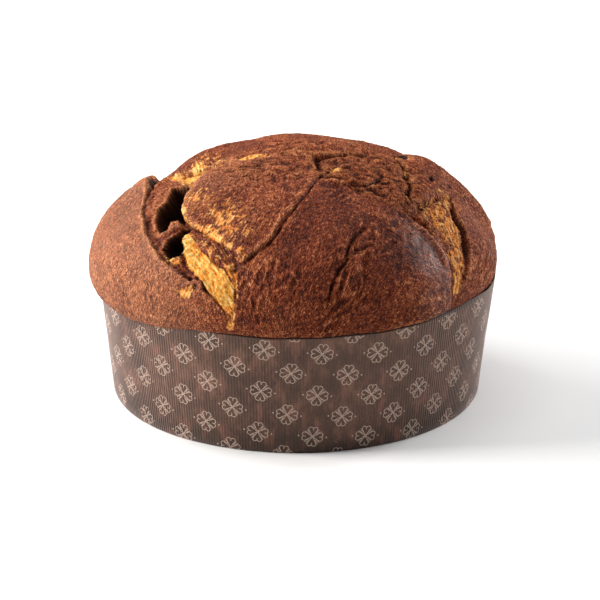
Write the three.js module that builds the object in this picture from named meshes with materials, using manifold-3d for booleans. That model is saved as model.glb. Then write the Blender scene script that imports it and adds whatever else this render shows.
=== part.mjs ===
// A low panettone baked in a paper case, in millimetres, +Z up.
// The origin is the centre of the case's base. The shown side faces -Y, with +X to its right.
// The bread filled the case, rose over its rim as a dome and split along its cross cut, so that
// five lobes of brown crust stand round golden crumb, with two torn caves left of the middle.
import * as THREE from "three";
import { mergeVertices } from "three/addons/utils/BufferGeometryUtils.js";
import Module from "manifold-3d";

const wasm = await Module();
wasm.setup();

// Driving dimensions of the case
const RIM_RADIUS = 105;
const BASE_RADIUS = 98;
const CASE_HEIGHT = 66;
const PAPER = 0.8;
const CASE_SIDES = 96;

// Driving dimensions of the bread
const DOME_RISE = 57.4; // from the widest ring up to the crown
const WIDEST_ABOVE_RIM = 6;
const WIDEST_RADIUS = 106.2; // where nothing spills over the rim
const SPILL_OUT = 3.8; // how much further the left side bulges
const SPILL_DOWN = 5.4; // how far that side hangs below the rim
const SPILL_LOW = 5; // power that keeps the bulge low on the dome
const ROUNDNESS_ACROSS = 1.85; // superellipse powers of the dome's profile
const ROUNDNESS_UP = 2.1;
const CLEARANCE = 0.35; // between bread and paper
const BODY_CLEARANCE = 0.5;

// Grid of the bread's skin, in rings from the crown out, round the underside and down the body
const DOME_RINGS = 30;
const UNDERSIDE_RINGS = 3;
const BODY_RINGS = 1;
const CELL_REACH = 1.3; // mm from a grid point over which its relief is averaged

const crustColour = 0x7b4430;
const paperColour = 0x4a3a33;

// Outlines of the lobes, drawn on the crust laid out flat: each point is [azimuth in degrees from +X,
// distance in mm from the crown along the crust]. Each smooth outline runs anticlockwise from above.
const EDGE = 150; // past the rim
const lobes = [
  {
    name: "left",
    lift: 2.2,
    swell: 0.8,
    outline: [
      [-107, EDGE], [-108, 131], [-110, 126], [-112, 120], [-115, 115], [-118, 110], [-122, 110],
      [-127, 108], [-131, 106], [-136, 102], [-142, 97], [-151, 91], [-158, 86], [-168, 81],
      [-179, 76], [167, 75], [161, 84], [157, 100], [155, 120], [154, EDGE], [180, EDGE + 40],
      [-140, EDGE + 40],
    ],
  },
  {
    name: "front",
    lift: 0.6,
    swell: 2.8,
    outline: [
      [-106, EDGE], [-106, 128], [-107, 113], [-108, 101], [-110, 90], [-106, 69], [-94, 50],
      [-78, 34], [-62, 36], [-52, 48], [-45, 62], [-42, 77], [-39, 95], [-39, 110], [-41, 124],
      [-45, EDGE], [-60, EDGE + 20], [-88, EDGE + 20],
    ],
  },
  {
    name: "middle",
    lift: 3.2,
    swell: 1.4,
    outline: [
      [-108, 101], [-103, 92], [-99, 82], [-95, 73], [-90, 61], [-83, 47], [-73, 37], [-66, 30],
      [-55, 16], [-20, 8], [90, 2], [-160, 14], [-170, 28], [-172, 39], [-162, 52], [-157, 62],
      [-150, 69], [-143, 76], [-136, 81], [-130, 84], [-122, 91], [-114, 94],
    ],
  },
  {
    name: "right",
    lift: 0.8,
    swell: 2.0,
    outline: [
      [-39, EDGE], [-38, 125], [-34, 116], [-29, 108], [-23, 102], [-20, 93], [-17, 84], [-25, 77],
      [-31, 74], [-20, 66], [-8, 60], [8, 56], [20, 57], [30, 66], [38, 82], [43, 102], [45, 125],
      [46, EDGE], [30, EDGE + 40], [-20, EDGE + 40],
    ],
  },
  {
    name: "back",
    lift: 1.4,
    swell: 2.0,
    outline: [
      [50, EDGE], [50, 126], [48, 104], [42, 84], [31, 64], [22, 52], [18, 38], [14, 24], [10, 12],
      [150, 6], [-165, 18], [-174, 30], [168, 38], [156, 47], [150, 62], [149, 84], [148, 108],
      [149, EDGE], [125, EDGE + 40], [75, EDGE + 40],
    ],
  },
];
const LOBE_SHOULDER = 16; // mm over which a lobe swells behind its edge
const EDGE_SLOPE = 2.6; // half the width of the drop at a lobe's edge
const RIM_FADE = 20; // mm above the widest ring over which the lobes run out

// Between the lobes lies the torn crumb. Its floor is higher where the tear is shallow.
const CRUMB_DEPTH = 3.2;
const tornPatches = [
  {
    name: "top",
    lift: 0.4,
    outline: [
      [-71, 33], [-54, 20], [-20, 14], [10, 30], [19, 54], [-8, 61], [-29, 73], [-39, 73], [-43, 57],
      [-51, 46],
    ],
  },
  {
    name: "left",
    lift: -1.4,
    outline: [
      [176, 66], [-170, 74], [-156, 86], [-139, 101], [-128, 107], [-127, 97], [-136, 90],
      [-142, 86], [-154, 72], [-158, 61], [-168, 58],
    ],
  },
];
const caves = [
  {
    name: "big",
    depth: 12,
    outline: [
      [-158, 62], [-163, 65], [-158, 74], [-154, 80], [-149, 84], [-143, 88], [-137, 88], [-136, 83],
      [-144, 76], [-150, 69],
    ],
  },
  {
    name: "small",
    depth: 7,
    outline: [[-131, 86], [-133, 96], [-132, 101], [-128, 103], [-127, 97], [-127, 91]],
  },
];
// Folds and splits: a line with its depth and half width.
const furrows = [
  {
    name: "front fold",
    depth: 1.2,
    halfWidth: 2.6,
    line: [[-65, 84], [-71, 89], [-73, 95], [-77, 102], [-80, 109], [-82, 117]],
  },
  {
    name: "top split",
    depth: 2.4,
    halfWidth: 2.4,
    line: [[-156, 19], [-162, 11], [90, 3], [-20, 9], [8, 18], [20, 36]],
  },
  {
    name: "right split",
    depth: 2.8,
    halfWidth: 2.2,
    line: [[-17, 84], [-19, 91], [-22, 98], [-25, 104], [-30, 109], [-34, 114]],
  },
];
// Broad hollows that make the dome lopsided: middle, depth and radius.
const slumps = [
  { name: "left shoulder", middle: [-176, 104], depth: 2.6, radius: 30 },
  { name: "left of the crown", middle: [146, 62], depth: 4.4, radius: 36 },
  { name: "crown", middle: [90, 12], depth: 0.8, radius: 40 },
];

const radians = (degrees) => (degrees * Math.PI) / 180;
const clamp01 = (x) => Math.min(1, Math.max(0, x));
const smooth = (low, high, x) => {
  const t = clamp01((x - low) / (high - low));
  return t * t * (3 - 2 * t);
};

// A point of the flat layout as x and y in mm.
const flat = ([azimuth, reach]) =>
  new THREE.Vector3(reach * Math.cos(radians(azimuth)), reach * Math.sin(radians(azimuth)), 0);

// A smooth curve through points of the flat layout, as a list of short straight pieces.
function curveThrough(points, closed, step = 2.5) {
  const curve = new THREE.CatmullRomCurve3(points.map(flat), closed, "centripetal");
  return curve.getSpacedPoints(Math.ceil(curve.getLength() / step));
}

function distanceToLine(x, y, line) {
  let best = Infinity;
  for (let i = 1; i < line.length; i++) {
    const a = line[i - 1];
    const dx = line[i].x - a.x;
    const dy = line[i].y - a.y;
    const t = clamp01(((x - a.x) * dx + (y - a.y) * dy) / (dx * dx + dy * dy || 1));
    best = Math.min(best, Math.hypot(x - a.x - t * dx, y - a.y - t * dy));
  }
  return best;
}

function isInside(x, y, line) {
  let inside = false;
  for (let i = 1; i < line.length; i++) {
    const a = line[i - 1];
    const b = line[i];
    if (a.y > y !== b.y > y && x < a.x + ((y - a.y) / (b.y - a.y)) * (b.x - a.x)) inside = !inside;
  }
  return inside;
}

// Distance to an outline, positive inside it.
const depthInside = (x, y, line) => distanceToLine(x, y, line) * (isInside(x, y, line) ? 1 : -1);

for (const shape of [...lobes, ...tornPatches, ...caves]) shape.curve = curveThrough(shape.outline, true);
for (const furrow of furrows) furrow.curve = curveThrough(furrow.line, false);
for (const slump of slumps) slump.centre = flat(slump.middle);

// Slow unevenness of a hand-shaped loaf, in mm.
const lumps = (x, y) =>
  0.7 * Math.sin(x / 17 + 1.3) * Math.sin(y / 15 - 0.4) + 0.45 * Math.sin(x / 8.3 - y / 9.1 + 2.1);

// Height of the crust above the plain dome at a place of the flat layout.
function relief(x, y) {
  const floor = -CRUMB_DEPTH + 0.5 * lumps(1.7 * x, 1.7 * y);
  let height = floor;
  for (const patch of tornPatches) {
    const d = depthInside(x, y, patch.curve);
    height = Math.max(height, floor + (patch.lift - floor) * smooth(-EDGE_SLOPE, EDGE_SLOPE, d));
  }
  for (const lobe of lobes) {
    const d = depthInside(x, y, lobe.curve);
    const top = lobe.lift + lobe.swell * (1 - Math.exp(-Math.max(0, d) / LOBE_SHOULDER));
    height = Math.max(height, floor + (top - floor) * smooth(-EDGE_SLOPE, EDGE_SLOPE, d));
  }
  for (const cave of caves) {
    height -= cave.depth * smooth(-1, 3.5, depthInside(x, y, cave.curve));
  }
  for (const furrow of furrows) {
    const d = distanceToLine(x, y, furrow.curve) / furrow.halfWidth;
    height -= furrow.depth * Math.exp(-d * d);
  }
  for (const { centre, depth, radius } of slumps) {
    height -= depth * Math.exp(-((x - centre.x) ** 2 + (y - centre.y) ** 2) / radius ** 2);
  }
  return height + lumps(x, y);
}

// The mean relief over the patch of crust that one grid point stands for.
function meanRelief(x, y) {
  let sum = 0;
  for (const dx of [-CELL_REACH, 0, CELL_REACH]) {
    for (const dy of [-CELL_REACH, 0, CELL_REACH]) sum += relief(x + dx, y + dy);
  }
  return sum / 9;
}

// How much the bread spills over the rim: a share from 0 to 1, most on the left side.
function spill(azimuth) {
  const fromLeft = Math.abs(((azimuth - radians(-168) + 3 * Math.PI) % (2 * Math.PI)) - Math.PI);
  return Math.exp(-((fromLeft / radians(44)) ** 4));
}

const bodyRadius = (z) =>
  BASE_RADIUS + ((RIM_RADIUS - BASE_RADIUS) * z) / CASE_HEIGHT - PAPER - BODY_CLEARANCE;

// The dome's profile, from the crown to the widest ring, with the length of crust up to each place.
const profile = [{ turn: 0, reach: 0 }];
const PROFILE_STEPS = 600;
const across = (turn) => Math.sin(turn) ** (2 / ROUNDNESS_ACROSS);
const up = (turn) => Math.max(0, Math.cos(turn)) ** (2 / ROUNDNESS_UP);
for (let i = 1; i <= PROFILE_STEPS; i++) {
  const turn = ((Math.PI / 2) * i) / PROFILE_STEPS;
  const last = profile[i - 1];
  const run = WIDEST_RADIUS * (across(turn) - across(last.turn));
  const drop = DOME_RISE * (up(turn) - up(last.turn));
  profile.push({ turn, reach: last.reach + Math.hypot(run, drop) });
}
const WIDEST_REACH = profile[PROFILE_STEPS].reach;

function turnAt(reach) {
  const i = profile.findIndex((p) => p.reach >= reach);
  if (i < 0) return Math.PI / 2;
  if (i === 0) return 0;
  const a = profile[i - 1];
  const b = profile[i];
  return a.turn + ((b.turn - a.turn) * (reach - a.reach)) / (b.reach - a.reach);
}

// Where the bread is widest: lower and further out where it spills over the rim.
function widestRing(azimuth) {
  const share = spill(azimuth);
  return {
    radius: WIDEST_RADIUS + SPILL_OUT * share,
    z: CASE_HEIGHT + WIDEST_ABOVE_RIM - (SPILL_DOWN / 2) * share,
  };
}

// A point of the bread above the rim: the plain dome, moved out along its own normal by the relief.
function domePoint(azimuth, reach) {
  const turn = turnAt(reach);
  const low = widestRing(azimuth);
  const crown = CASE_HEIGHT + WIDEST_ABOVE_RIM + DOME_RISE;
  const at = (t) => [
    WIDEST_RADIUS * across(t) + (low.radius - WIDEST_RADIUS) * across(t) ** SPILL_LOW,
    low.z + (crown - low.z) * up(t),
  ];
  const [r, z] = at(turn);
  const [r0, z0] = at(Math.max(0.002, turn - 0.02));
  const [r1, z1] = at(Math.min(Math.PI / 2, turn + 0.02));
  const length = Math.hypot(r1 - r0, z1 - z0);
  const fade = smooth(WIDEST_REACH, WIDEST_REACH - RIM_FADE, reach);
  const h = fade * meanRelief(reach * Math.cos(azimuth), reach * Math.sin(azimuth));
  return [r + (h * (z0 - z1)) / length, z + (h * (r1 - r0)) / length];
}

// A point of the rounded underside, from the widest ring (share 0) in to the case (share 1).
function undersidePoint(azimuth, share) {
  const lowest = CASE_HEIGHT + 0.5 - SPILL_DOWN * spill(azimuth);
  const inner = bodyRadius(lowest);
  const { radius, z } = widestRing(azimuth);
  const angle = (share * Math.PI) / 2;
  return [inner + (radius - inner) * Math.cos(angle), z - (z - lowest) * Math.sin(angle)];
}

// Turns a list of triangles into a manifold-3d solid.
function solid(geometry) {
  const bare = new THREE.BufferGeometry().setAttribute("position", geometry.getAttribute("position"));
  if (geometry.index) bare.setIndex(geometry.index);
  const merged = mergeVertices(bare, 1e-4);
  return new wasm.Manifold(
    new wasm.Mesh({
      numProp: 3,
      vertProperties: merged.getAttribute("position").array,
      triVerts: new Uint32Array(merged.index.array),
    }),
  );
}

function geometryOf(made) {
  const mesh = made.getMesh();
  return new THREE.BufferGeometry()
    .setAttribute("position", new THREE.BufferAttribute(new Float32Array(mesh.vertProperties), 3))
    .setIndex(new THREE.BufferAttribute(new Uint32Array(mesh.triVerts), 1));
}

// A ring of revolution from a closed profile of [radius, height].
function turned(points, sides) {
  const path = points.map(([r, z]) => new THREE.Vector2(r, z));
  const geometry = new THREE.LatheGeometry([...path, path[0]], sides);
  geometry.rotateX(Math.PI / 2);
  return geometry;
}

// The bread's skin is one square sheet, and each square ring of the sheet becomes a round ring.
// Rings run from the crown over the dome, round the underside and down inside the case.
const RINGS = DOME_RINGS + UNDERSIDE_RINGS + BODY_RINGS;
const BREAD_FLOOR = PAPER + BODY_CLEARANCE;

// Where the sheet's place (i, j) lies on the bread; i and j run from -RINGS to RINGS.
function skinPoint(i, j) {
  const ring = Math.max(Math.abs(i), Math.abs(j));
  const sideways = Math.abs(i) >= Math.abs(j);
  let azimuth = 0;
  if (ring > 0) {
    azimuth = sideways ? (Math.PI / 4) * (j / i) : Math.PI / 2 - (Math.PI / 4) * (i / j);
    if (sideways ? i < 0 : j < 0) azimuth += Math.PI;
  }
  let place;
  if (ring <= DOME_RINGS) {
    place = domePoint(azimuth, (WIDEST_REACH * ring) / DOME_RINGS);
  } else if (ring <= DOME_RINGS + UNDERSIDE_RINGS) {
    place = undersidePoint(azimuth, (ring - DOME_RINGS) / UNDERSIDE_RINGS);
  } else {
    const top = undersidePoint(azimuth, 1)[1];
    const z = top + ((BREAD_FLOOR - top) * (ring - DOME_RINGS - UNDERSIDE_RINGS)) / BODY_RINGS;
    place = [bodyRadius(z), z];
  }
  return new THREE.Vector3(place[0] * Math.cos(azimuth), place[0] * Math.sin(azimuth), place[1]);
}

function breadGeometry() {
  const points = [];
  const index = [];
  for (let j = -RINGS; j <= RINGS; j++) {
    for (let i = -RINGS; i <= RINGS; i++) points.push(skinPoint(i, j));
  }
  const at = (i, j) => (j + RINGS) * (2 * RINGS + 1) + i + RINGS;
  for (let j = -RINGS; j < RINGS; j++) {
    for (let i = -RINGS; i < RINGS; i++) {
      const [a, b, c, d] = [at(i, j), at(i + 1, j), at(i + 1, j + 1), at(i, j + 1)];
      // Of a cell's two diagonals, the one nearer the crust folds with the torn edges.
      const middle = skinPoint(i + 0.5, j + 0.5);
      const off = (p, q) => points[p].clone().add(points[q]).divideScalar(2).distanceTo(middle);
      if (off(b, d) < off(a, c)) index.push(a, b, d, b, c, d);
      else index.push(a, b, c, a, c, d);
    }
  }
  // The flat bottom: a fan from its centre to the last ring.
  const border = [];
  for (let i = -RINGS; i < RINGS; i++) border.push(at(i, -RINGS));
  for (let j = -RINGS; j < RINGS; j++) border.push(at(RINGS, j));
  for (let i = RINGS; i > -RINGS; i--) border.push(at(i, RINGS));
  for (let j = RINGS; j > -RINGS; j--) border.push(at(-RINGS, j));
  const centre = points.push(new THREE.Vector3(0, 0, BREAD_FLOOR)) - 1;
  border.forEach((v, k) => index.push(centre, border[(k + 1) % border.length], v));
  return new THREE.BufferGeometry().setFromPoints(points).setIndex(index);
}

// The paper case: a shallow cup with a flat base and slightly flared wall.
const innerRadius = (z) => BASE_RADIUS + ((RIM_RADIUS - BASE_RADIUS) * z) / CASE_HEIGHT - PAPER;
const caseProfile = [
  [0, 0],
  [BASE_RADIUS, 0],
  [RIM_RADIUS, CASE_HEIGHT],
  [RIM_RADIUS - PAPER, CASE_HEIGHT],
  [innerRadius(PAPER), PAPER],
  [0, PAPER],
];

// What the rim needs free of bread: the wall's own section, grown by the clearance.
const slotDepth = SPILL_DOWN + 4;
const slotRadius = (z) => innerRadius(z) + PAPER;
const slotProfile = [
  [slotRadius(CASE_HEIGHT - slotDepth) - PAPER - CLEARANCE, CASE_HEIGHT - slotDepth],
  [slotRadius(CASE_HEIGHT - slotDepth) + CLEARANCE, CASE_HEIGHT - slotDepth],
  [RIM_RADIUS + CLEARANCE, CASE_HEIGHT + CLEARANCE],
  [RIM_RADIUS - PAPER - CLEARANCE, CASE_HEIGHT + CLEARANCE],
];

const breadSolid = solid(breadGeometry()).subtract(solid(turned(slotProfile, CASE_SIDES)));

const panettone = new THREE.Group();

const bread = new THREE.Mesh(
  geometryOf(breadSolid),
  new THREE.MeshStandardMaterial({ color: crustColour, roughness: 0.75, metalness: 0 }),
);
bread.name = "bread";
panettone.add(bread);

const paperCase = new THREE.Mesh(
  turned(caseProfile, CASE_SIDES),
  new THREE.MeshStandardMaterial({ color: paperColour, roughness: 0.6, metalness: 0 }),
);
paperCase.name = "paper_case";
panettone.add(paperCase);

export default panettone;
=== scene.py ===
# %% [markdown]
# # A low panettone in its paper case
# A sweet loaf is baked in a paper case. The dough fills the case, rises over the rim as a dome and
# splits where its top was cut, so that lobes of brown crust stand round torn golden crumb.
# The script loads the plain solids of the part as a fixed frame and dresses them: bread first,
# then the case, then floor, lights and camera. All sizes are worked out in millimetres.

# %% Load the frame
import math
from types import SimpleNamespace

import bpy
import numpy as np
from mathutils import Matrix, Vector


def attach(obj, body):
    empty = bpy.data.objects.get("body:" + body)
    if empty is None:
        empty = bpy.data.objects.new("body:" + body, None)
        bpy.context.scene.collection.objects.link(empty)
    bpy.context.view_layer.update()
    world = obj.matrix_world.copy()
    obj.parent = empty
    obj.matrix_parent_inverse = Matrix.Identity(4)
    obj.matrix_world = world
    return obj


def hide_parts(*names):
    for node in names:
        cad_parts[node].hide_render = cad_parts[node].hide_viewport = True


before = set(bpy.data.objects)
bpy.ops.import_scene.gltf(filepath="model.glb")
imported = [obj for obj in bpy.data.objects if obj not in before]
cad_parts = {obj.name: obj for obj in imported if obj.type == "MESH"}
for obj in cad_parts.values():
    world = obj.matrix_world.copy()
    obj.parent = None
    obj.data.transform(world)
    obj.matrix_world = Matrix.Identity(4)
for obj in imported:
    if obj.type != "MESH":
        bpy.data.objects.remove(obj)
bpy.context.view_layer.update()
MM = 0.001
print("solids of the frame:", sorted(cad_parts))

# %% [markdown]
# ## The camera
# The loaf was seen from far away and a little above, so the circles of rim and base are even
# ellipses. A short lens close by would bend them, so a long lens stands 1.8 m away. The aim point
# is set a little off the loaf's middle instead of shifting the lens, so other views can turn the
# same camera.

# %% Camera
ELEVATION = 20.4  # degrees over the floor
DISTANCE = 1800.0
SENSOR = 36.0
PIXELS_PER_MM, PICTURE_WIDTH = 1.87, 600  # how large the loaf is in the picture
FOCAL = PIXELS_PER_MM * DISTANCE * SENSOR / PICTURE_WIDTH
AIM = (2.0, 0.0, 47.5)


def make_camera():
    """Looks from the front, ELEVATION degrees above the floor, at the aim point."""
    data = bpy.data.cameras.new("camera")
    data.sensor_width = SENSOR
    data.lens = FOCAL
    data.clip_start, data.clip_end = 0.1, 50
    camera = bpy.data.objects.new("camera", data)
    tilt = math.radians(ELEVATION)
    camera.location = (
        AIM[0] * MM,
        (AIM[1] - DISTANCE * math.cos(tilt)) * MM,
        (AIM[2] + DISTANCE * math.sin(tilt)) * MM,
    )
    camera.rotation_euler = (math.pi / 2 - tilt, 0, 0)
    bpy.context.scene.collection.objects.link(camera)
    bpy.context.scene.camera = camera
    return camera


camera = make_camera()
print("lens of the camera: %.0f mm" % camera.data.lens)

# %% [markdown]
# ## Sizes of the loaf
# The case is a shallow cup with a flared wall. The dome above it could be cut from a ball, but
# then its roundness could not be set. So its profile is a superellipse, turned round the middle:
# its radius is a sine and its height a cosine, each raised to a power near 1. On the left the
# bread spills over the rim, so there its widest ring is lower and further out.

# %% Sizes
RIM_RADIUS, BASE_RADIUS, CASE_HEIGHT = 105.0, 98.0, 66.0
DOME_RISE, WIDEST_ABOVE_RIM, WIDEST_RADIUS = 57.4, 6.0, 106.2
SPILL_OUT, SPILL_DOWN, SPILL_POWER = 3.8, 5.4, 5  # a high power keeps the spill low on the dome
ROUNDNESS_ACROSS, ROUNDNESS_UP = 1.85, 2.1
RIM_FADE = 20.0  # the relief fades out over this much crust above the rim
TAU = 2 * np.pi


def smooth(low, high, x):
    """0 up to low, 1 from high on, and an S-shaped ease between them."""
    t = np.clip((x - low) / (high - low), 0, 1)
    return t * t * (3 - 2 * t)


def apart(azimuth, degrees):
    """Angle between an azimuth and a direction given in degrees, from 0 to half a turn."""
    return np.abs((azimuth - np.radians(degrees) + 3 * np.pi) % TAU - np.pi)


def spill(azimuth):
    """Share of the spill over the rim: 1 in the middle of the left side, 0 elsewhere."""
    return np.exp(-((apart(azimuth, -168) / np.radians(44)) ** 4))


def rim_height(azimuth):
    """The paper's rim: nearly level, a little higher on the right, with small waves."""
    rise = 1.6 * np.exp(-((apart(azimuth, -33) / np.radians(17)) ** 2))
    return CASE_HEIGHT - 0.4 + rise + 0.25 * np.sin(9 * azimuth + 1) + 0.15 * np.sin(23 * azimuth)


def wall_radius(z):
    """Outside radius of the case at height z: a straight flare from base to rim."""
    return BASE_RADIUS + (RIM_RADIUS - BASE_RADIUS) * z / CASE_HEIGHT


def opening(azimuth):
    """Share by which the paper stands off the bread: 1 at the right end, 0 elsewhere."""
    return np.exp(-((apart(azimuth, -4) / np.radians(24)) ** 4))


# The dome's profile as a table, from the crown to the widest ring: how far along the crust each
# angle of the superellipse lies.
turns = np.linspace(0, np.pi / 2, 1500)
across = np.sin(turns) ** (2 / ROUNDNESS_ACROSS)
up = np.clip(np.cos(turns), 0, 1) ** (2 / ROUNDNESS_UP)
steps = np.hypot(np.diff(WIDEST_RADIUS * across), np.diff(DOME_RISE * up))
reaches = np.concatenate([[0], np.cumsum(steps)])
WIDEST_REACH = reaches[-1]
print("crust from crown to widest ring: %.1f mm" % WIDEST_REACH)

# %% [markdown]
# ## Places on the crust
# To draw on a dome it helps to lay the crust out flat: a place is an azimuth and a reach, the
# distance from the crown along the crust, or the x and y that these make. Every lobe and crack is
# a smooth line on this flat map, and the dome then takes each flat place up to its point in space.

# %% From the flat map to the dome


def flat(points):
    """Azimuth in degrees and reach in mm, turned into x and y of the flat map."""
    azimuth, reach = np.array(points, float).T
    return np.stack([reach * np.cos(np.radians(azimuth)), reach * np.sin(np.radians(azimuth))], 1)


def on_dome(x, y, height=0.0):
    """The point at flat place (x, y), moved out by height along the plain dome's normal."""
    reach = np.minimum(np.hypot(x, y), WIDEST_REACH)
    azimuth = np.arctan2(y, x)
    share = spill(azimuth)
    lowest = CASE_HEIGHT + WIDEST_ABOVE_RIM - SPILL_DOWN / 2 * share
    crown = CASE_HEIGHT + WIDEST_ABOVE_RIM + DOME_RISE
    turn = np.interp(reach, reaches, turns)

    def profile(t):
        a = np.interp(t, turns, across)
        u = np.interp(t, turns, up)
        return WIDEST_RADIUS * a + SPILL_OUT * share * a**SPILL_POWER, lowest + (crown - lowest) * u

    r, z = profile(turn)
    r0, z0 = profile(np.maximum(0.002, turn - 0.02))
    r1, z1 = profile(np.minimum(np.pi / 2, turn + 0.02))
    length = np.hypot(r1 - r0, z1 - z0)
    r = r + height * (z0 - z1) / length
    z = z + height * (r1 - r0) / length
    return np.stack([r * np.cos(azimuth), r * np.sin(azimuth), z], -1)


def curve(points, closed=False, step=2.0):
    """A smooth line through points of the flat map: between two of them, the cubic whose slopes
    run from each point's neighbours (Catmull-Rom), cut into pieces about step mm long."""
    p = flat(points)
    p = np.concatenate([p[-1:], p, p[:2]]) if closed else np.concatenate([p[:1], p, p[-1:]])
    made = []
    for a, b, c, d in zip(p[:-3], p[1:-2], p[2:-1], p[3:]):
        t = np.linspace(0, 1, max(2, int(np.hypot(*(c - b)) / step)), endpoint=False)[:, None]
        made.append(
            0.5 * (2 * b + (c - a) * t + (2 * a - 5 * b + 4 * c - d) * t**2
                   + (3 * b - a - 3 * c + d) * t**3)
        )
    made.append(p[-2:-1])
    return np.concatenate(made)


def distance(line, x, y, closed=False):
    """Distance from every place to a line of short straight pieces. To a closed line it is
    positive inside, which is found by counting how often a ray to the right crosses the line."""
    best = np.full(x.shape, 1e9)
    inside = np.zeros(x.shape, bool)
    for (ax, ay), (bx, by) in zip(line[:-1], line[1:]):
        dx, dy = bx - ax, by - ay
        t = np.clip(((x - ax) * dx + (y - ay) * dy) / (dx * dx + dy * dy + 1e-12), 0, 1)
        best = np.minimum(best, (x - ax - t * dx) ** 2 + (y - ay - t * dy) ** 2)
        if closed and ay != by:
            inside ^= ((ay > y) != (by > y)) & (x < ax + (y - ay) / (by - ay) * dx)
    best = np.sqrt(best)
    return np.where(inside, best, -best) if closed else best


print("crown of the plain dome: %.1f mm high" % on_dome(0.0, 0.0)[2])

# %% [markdown]
# ## Unevenness
# Torn and baked dough is uneven at every scale. Gradient noise gives soft lumps of one size; a
# sum of halves of that size gives a natural surface. Ridged noise, which folds the lumps at zero,
# gives crags and fibres, and noise sampled on a stretched grid gives streaks of pulled dough.

# %% Noise on the flat map


def lumps(x, y, size, seed):
    """Gradient noise, about -1 to 1: a slope of random direction at each corner of a grid of
    size mm, blended across the cell."""
    x, y = x / size, y / size
    i, j = np.floor(x), np.floor(y)
    fx, fy = x - i, y - j

    def corner(di, dj):
        s = np.sin((i + di) * 127.1 + (j + dj) * 311.7 + seed * 74.7) * 43758.5453
        angle = TAU * (s - np.floor(s))
        return np.cos(angle) * (fx - di) + np.sin(angle) * (fy - dj)

    wx, wy = fx**3 * (fx * (fx * 6 - 15) + 10), fy**3 * (fy * (fy * 6 - 15) + 10)
    low = corner(0, 0) * (1 - wx) + corner(1, 0) * wx
    high = corner(0, 1) * (1 - wx) + corner(1, 1) * wx
    return 1.5 * (low * (1 - wy) + high * wy)


def uneven(x, y, size, seed, octaves=3):
    """Lumps of size mm plus half as high lumps of half the size, and so on."""
    return sum(lumps(x, y, size / 2**k, seed + 9 * k) / 2**k for k in range(octaves))


def crags(x, y, size, seed, octaves=3):
    """Ridged noise, about 0 to 1: sharp crests where lumps cross zero, on a bent map."""
    u = x + 0.4 * size * lumps(x, y, 1.7 * size, seed + 1)
    v = y + 0.4 * size * lumps(x, y, 1.7 * size, seed + 2)
    total = sum((1 - np.abs(lumps(u, v, size / 2**k, seed + 7 * k))) ** 2 / 2**k for k in range(octaves))
    return total / sum(1 / 2**k for k in range(octaves))


def plates(x, y, size, seed):
    """Flat flakes in steps: noise cut into levels, with a steep short rise from one level to the
    next. Gives the level and a mask of the foot of each rise, which gets painted shade."""
    n = 2.4 * uneven(x, y, size, seed, 3)
    part = n - np.floor(n)
    foot = smooth(0.50, 0.68, part) * smooth(0.84, 0.72, part)
    return np.floor(n) + smooth(0.70, 1.0, part), foot


def streaks(x, y, degrees, width, stretch, seed):
    """Lumps drawn out along a direction to stretch times their width."""
    a = np.radians(degrees)
    along, side = x * np.cos(a) + y * np.sin(a), y * np.cos(a) - x * np.sin(a)
    side = side + 0.8 * width * lumps(x, y, 9 * width, seed + 3)
    return lumps(along / stretch, side, width, seed)


sample = lumps(np.linspace(0, 400, 4000), np.zeros(4000), 10, 1)
print("lumps of 10 mm lie between %.2f and %.2f" % (sample.min(), sample.max()))

# %% [markdown]
# ## The lobes, tears and cracks
# The crust of a loaf splits into lobes, with torn crumb between them. They could be pushed up by
# hand, but as outlines on the flat map each one can be drawn and moved on its own. There are five
# lobes: left, front, middle, right and back. Each has the height of its edge (lift), a further
# rise behind the edge (swell), how far its lip hangs over the dough beside it (over), the
# direction in degrees in which its skin was pulled (pull), and how strongly (drawn). Each of the
# five tears has a height (lift), the share of cracks in it (cracked) and the softness of its border
# in mm. Two caves lie left of the middle. An outline is a list of azimuths and reaches.

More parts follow.
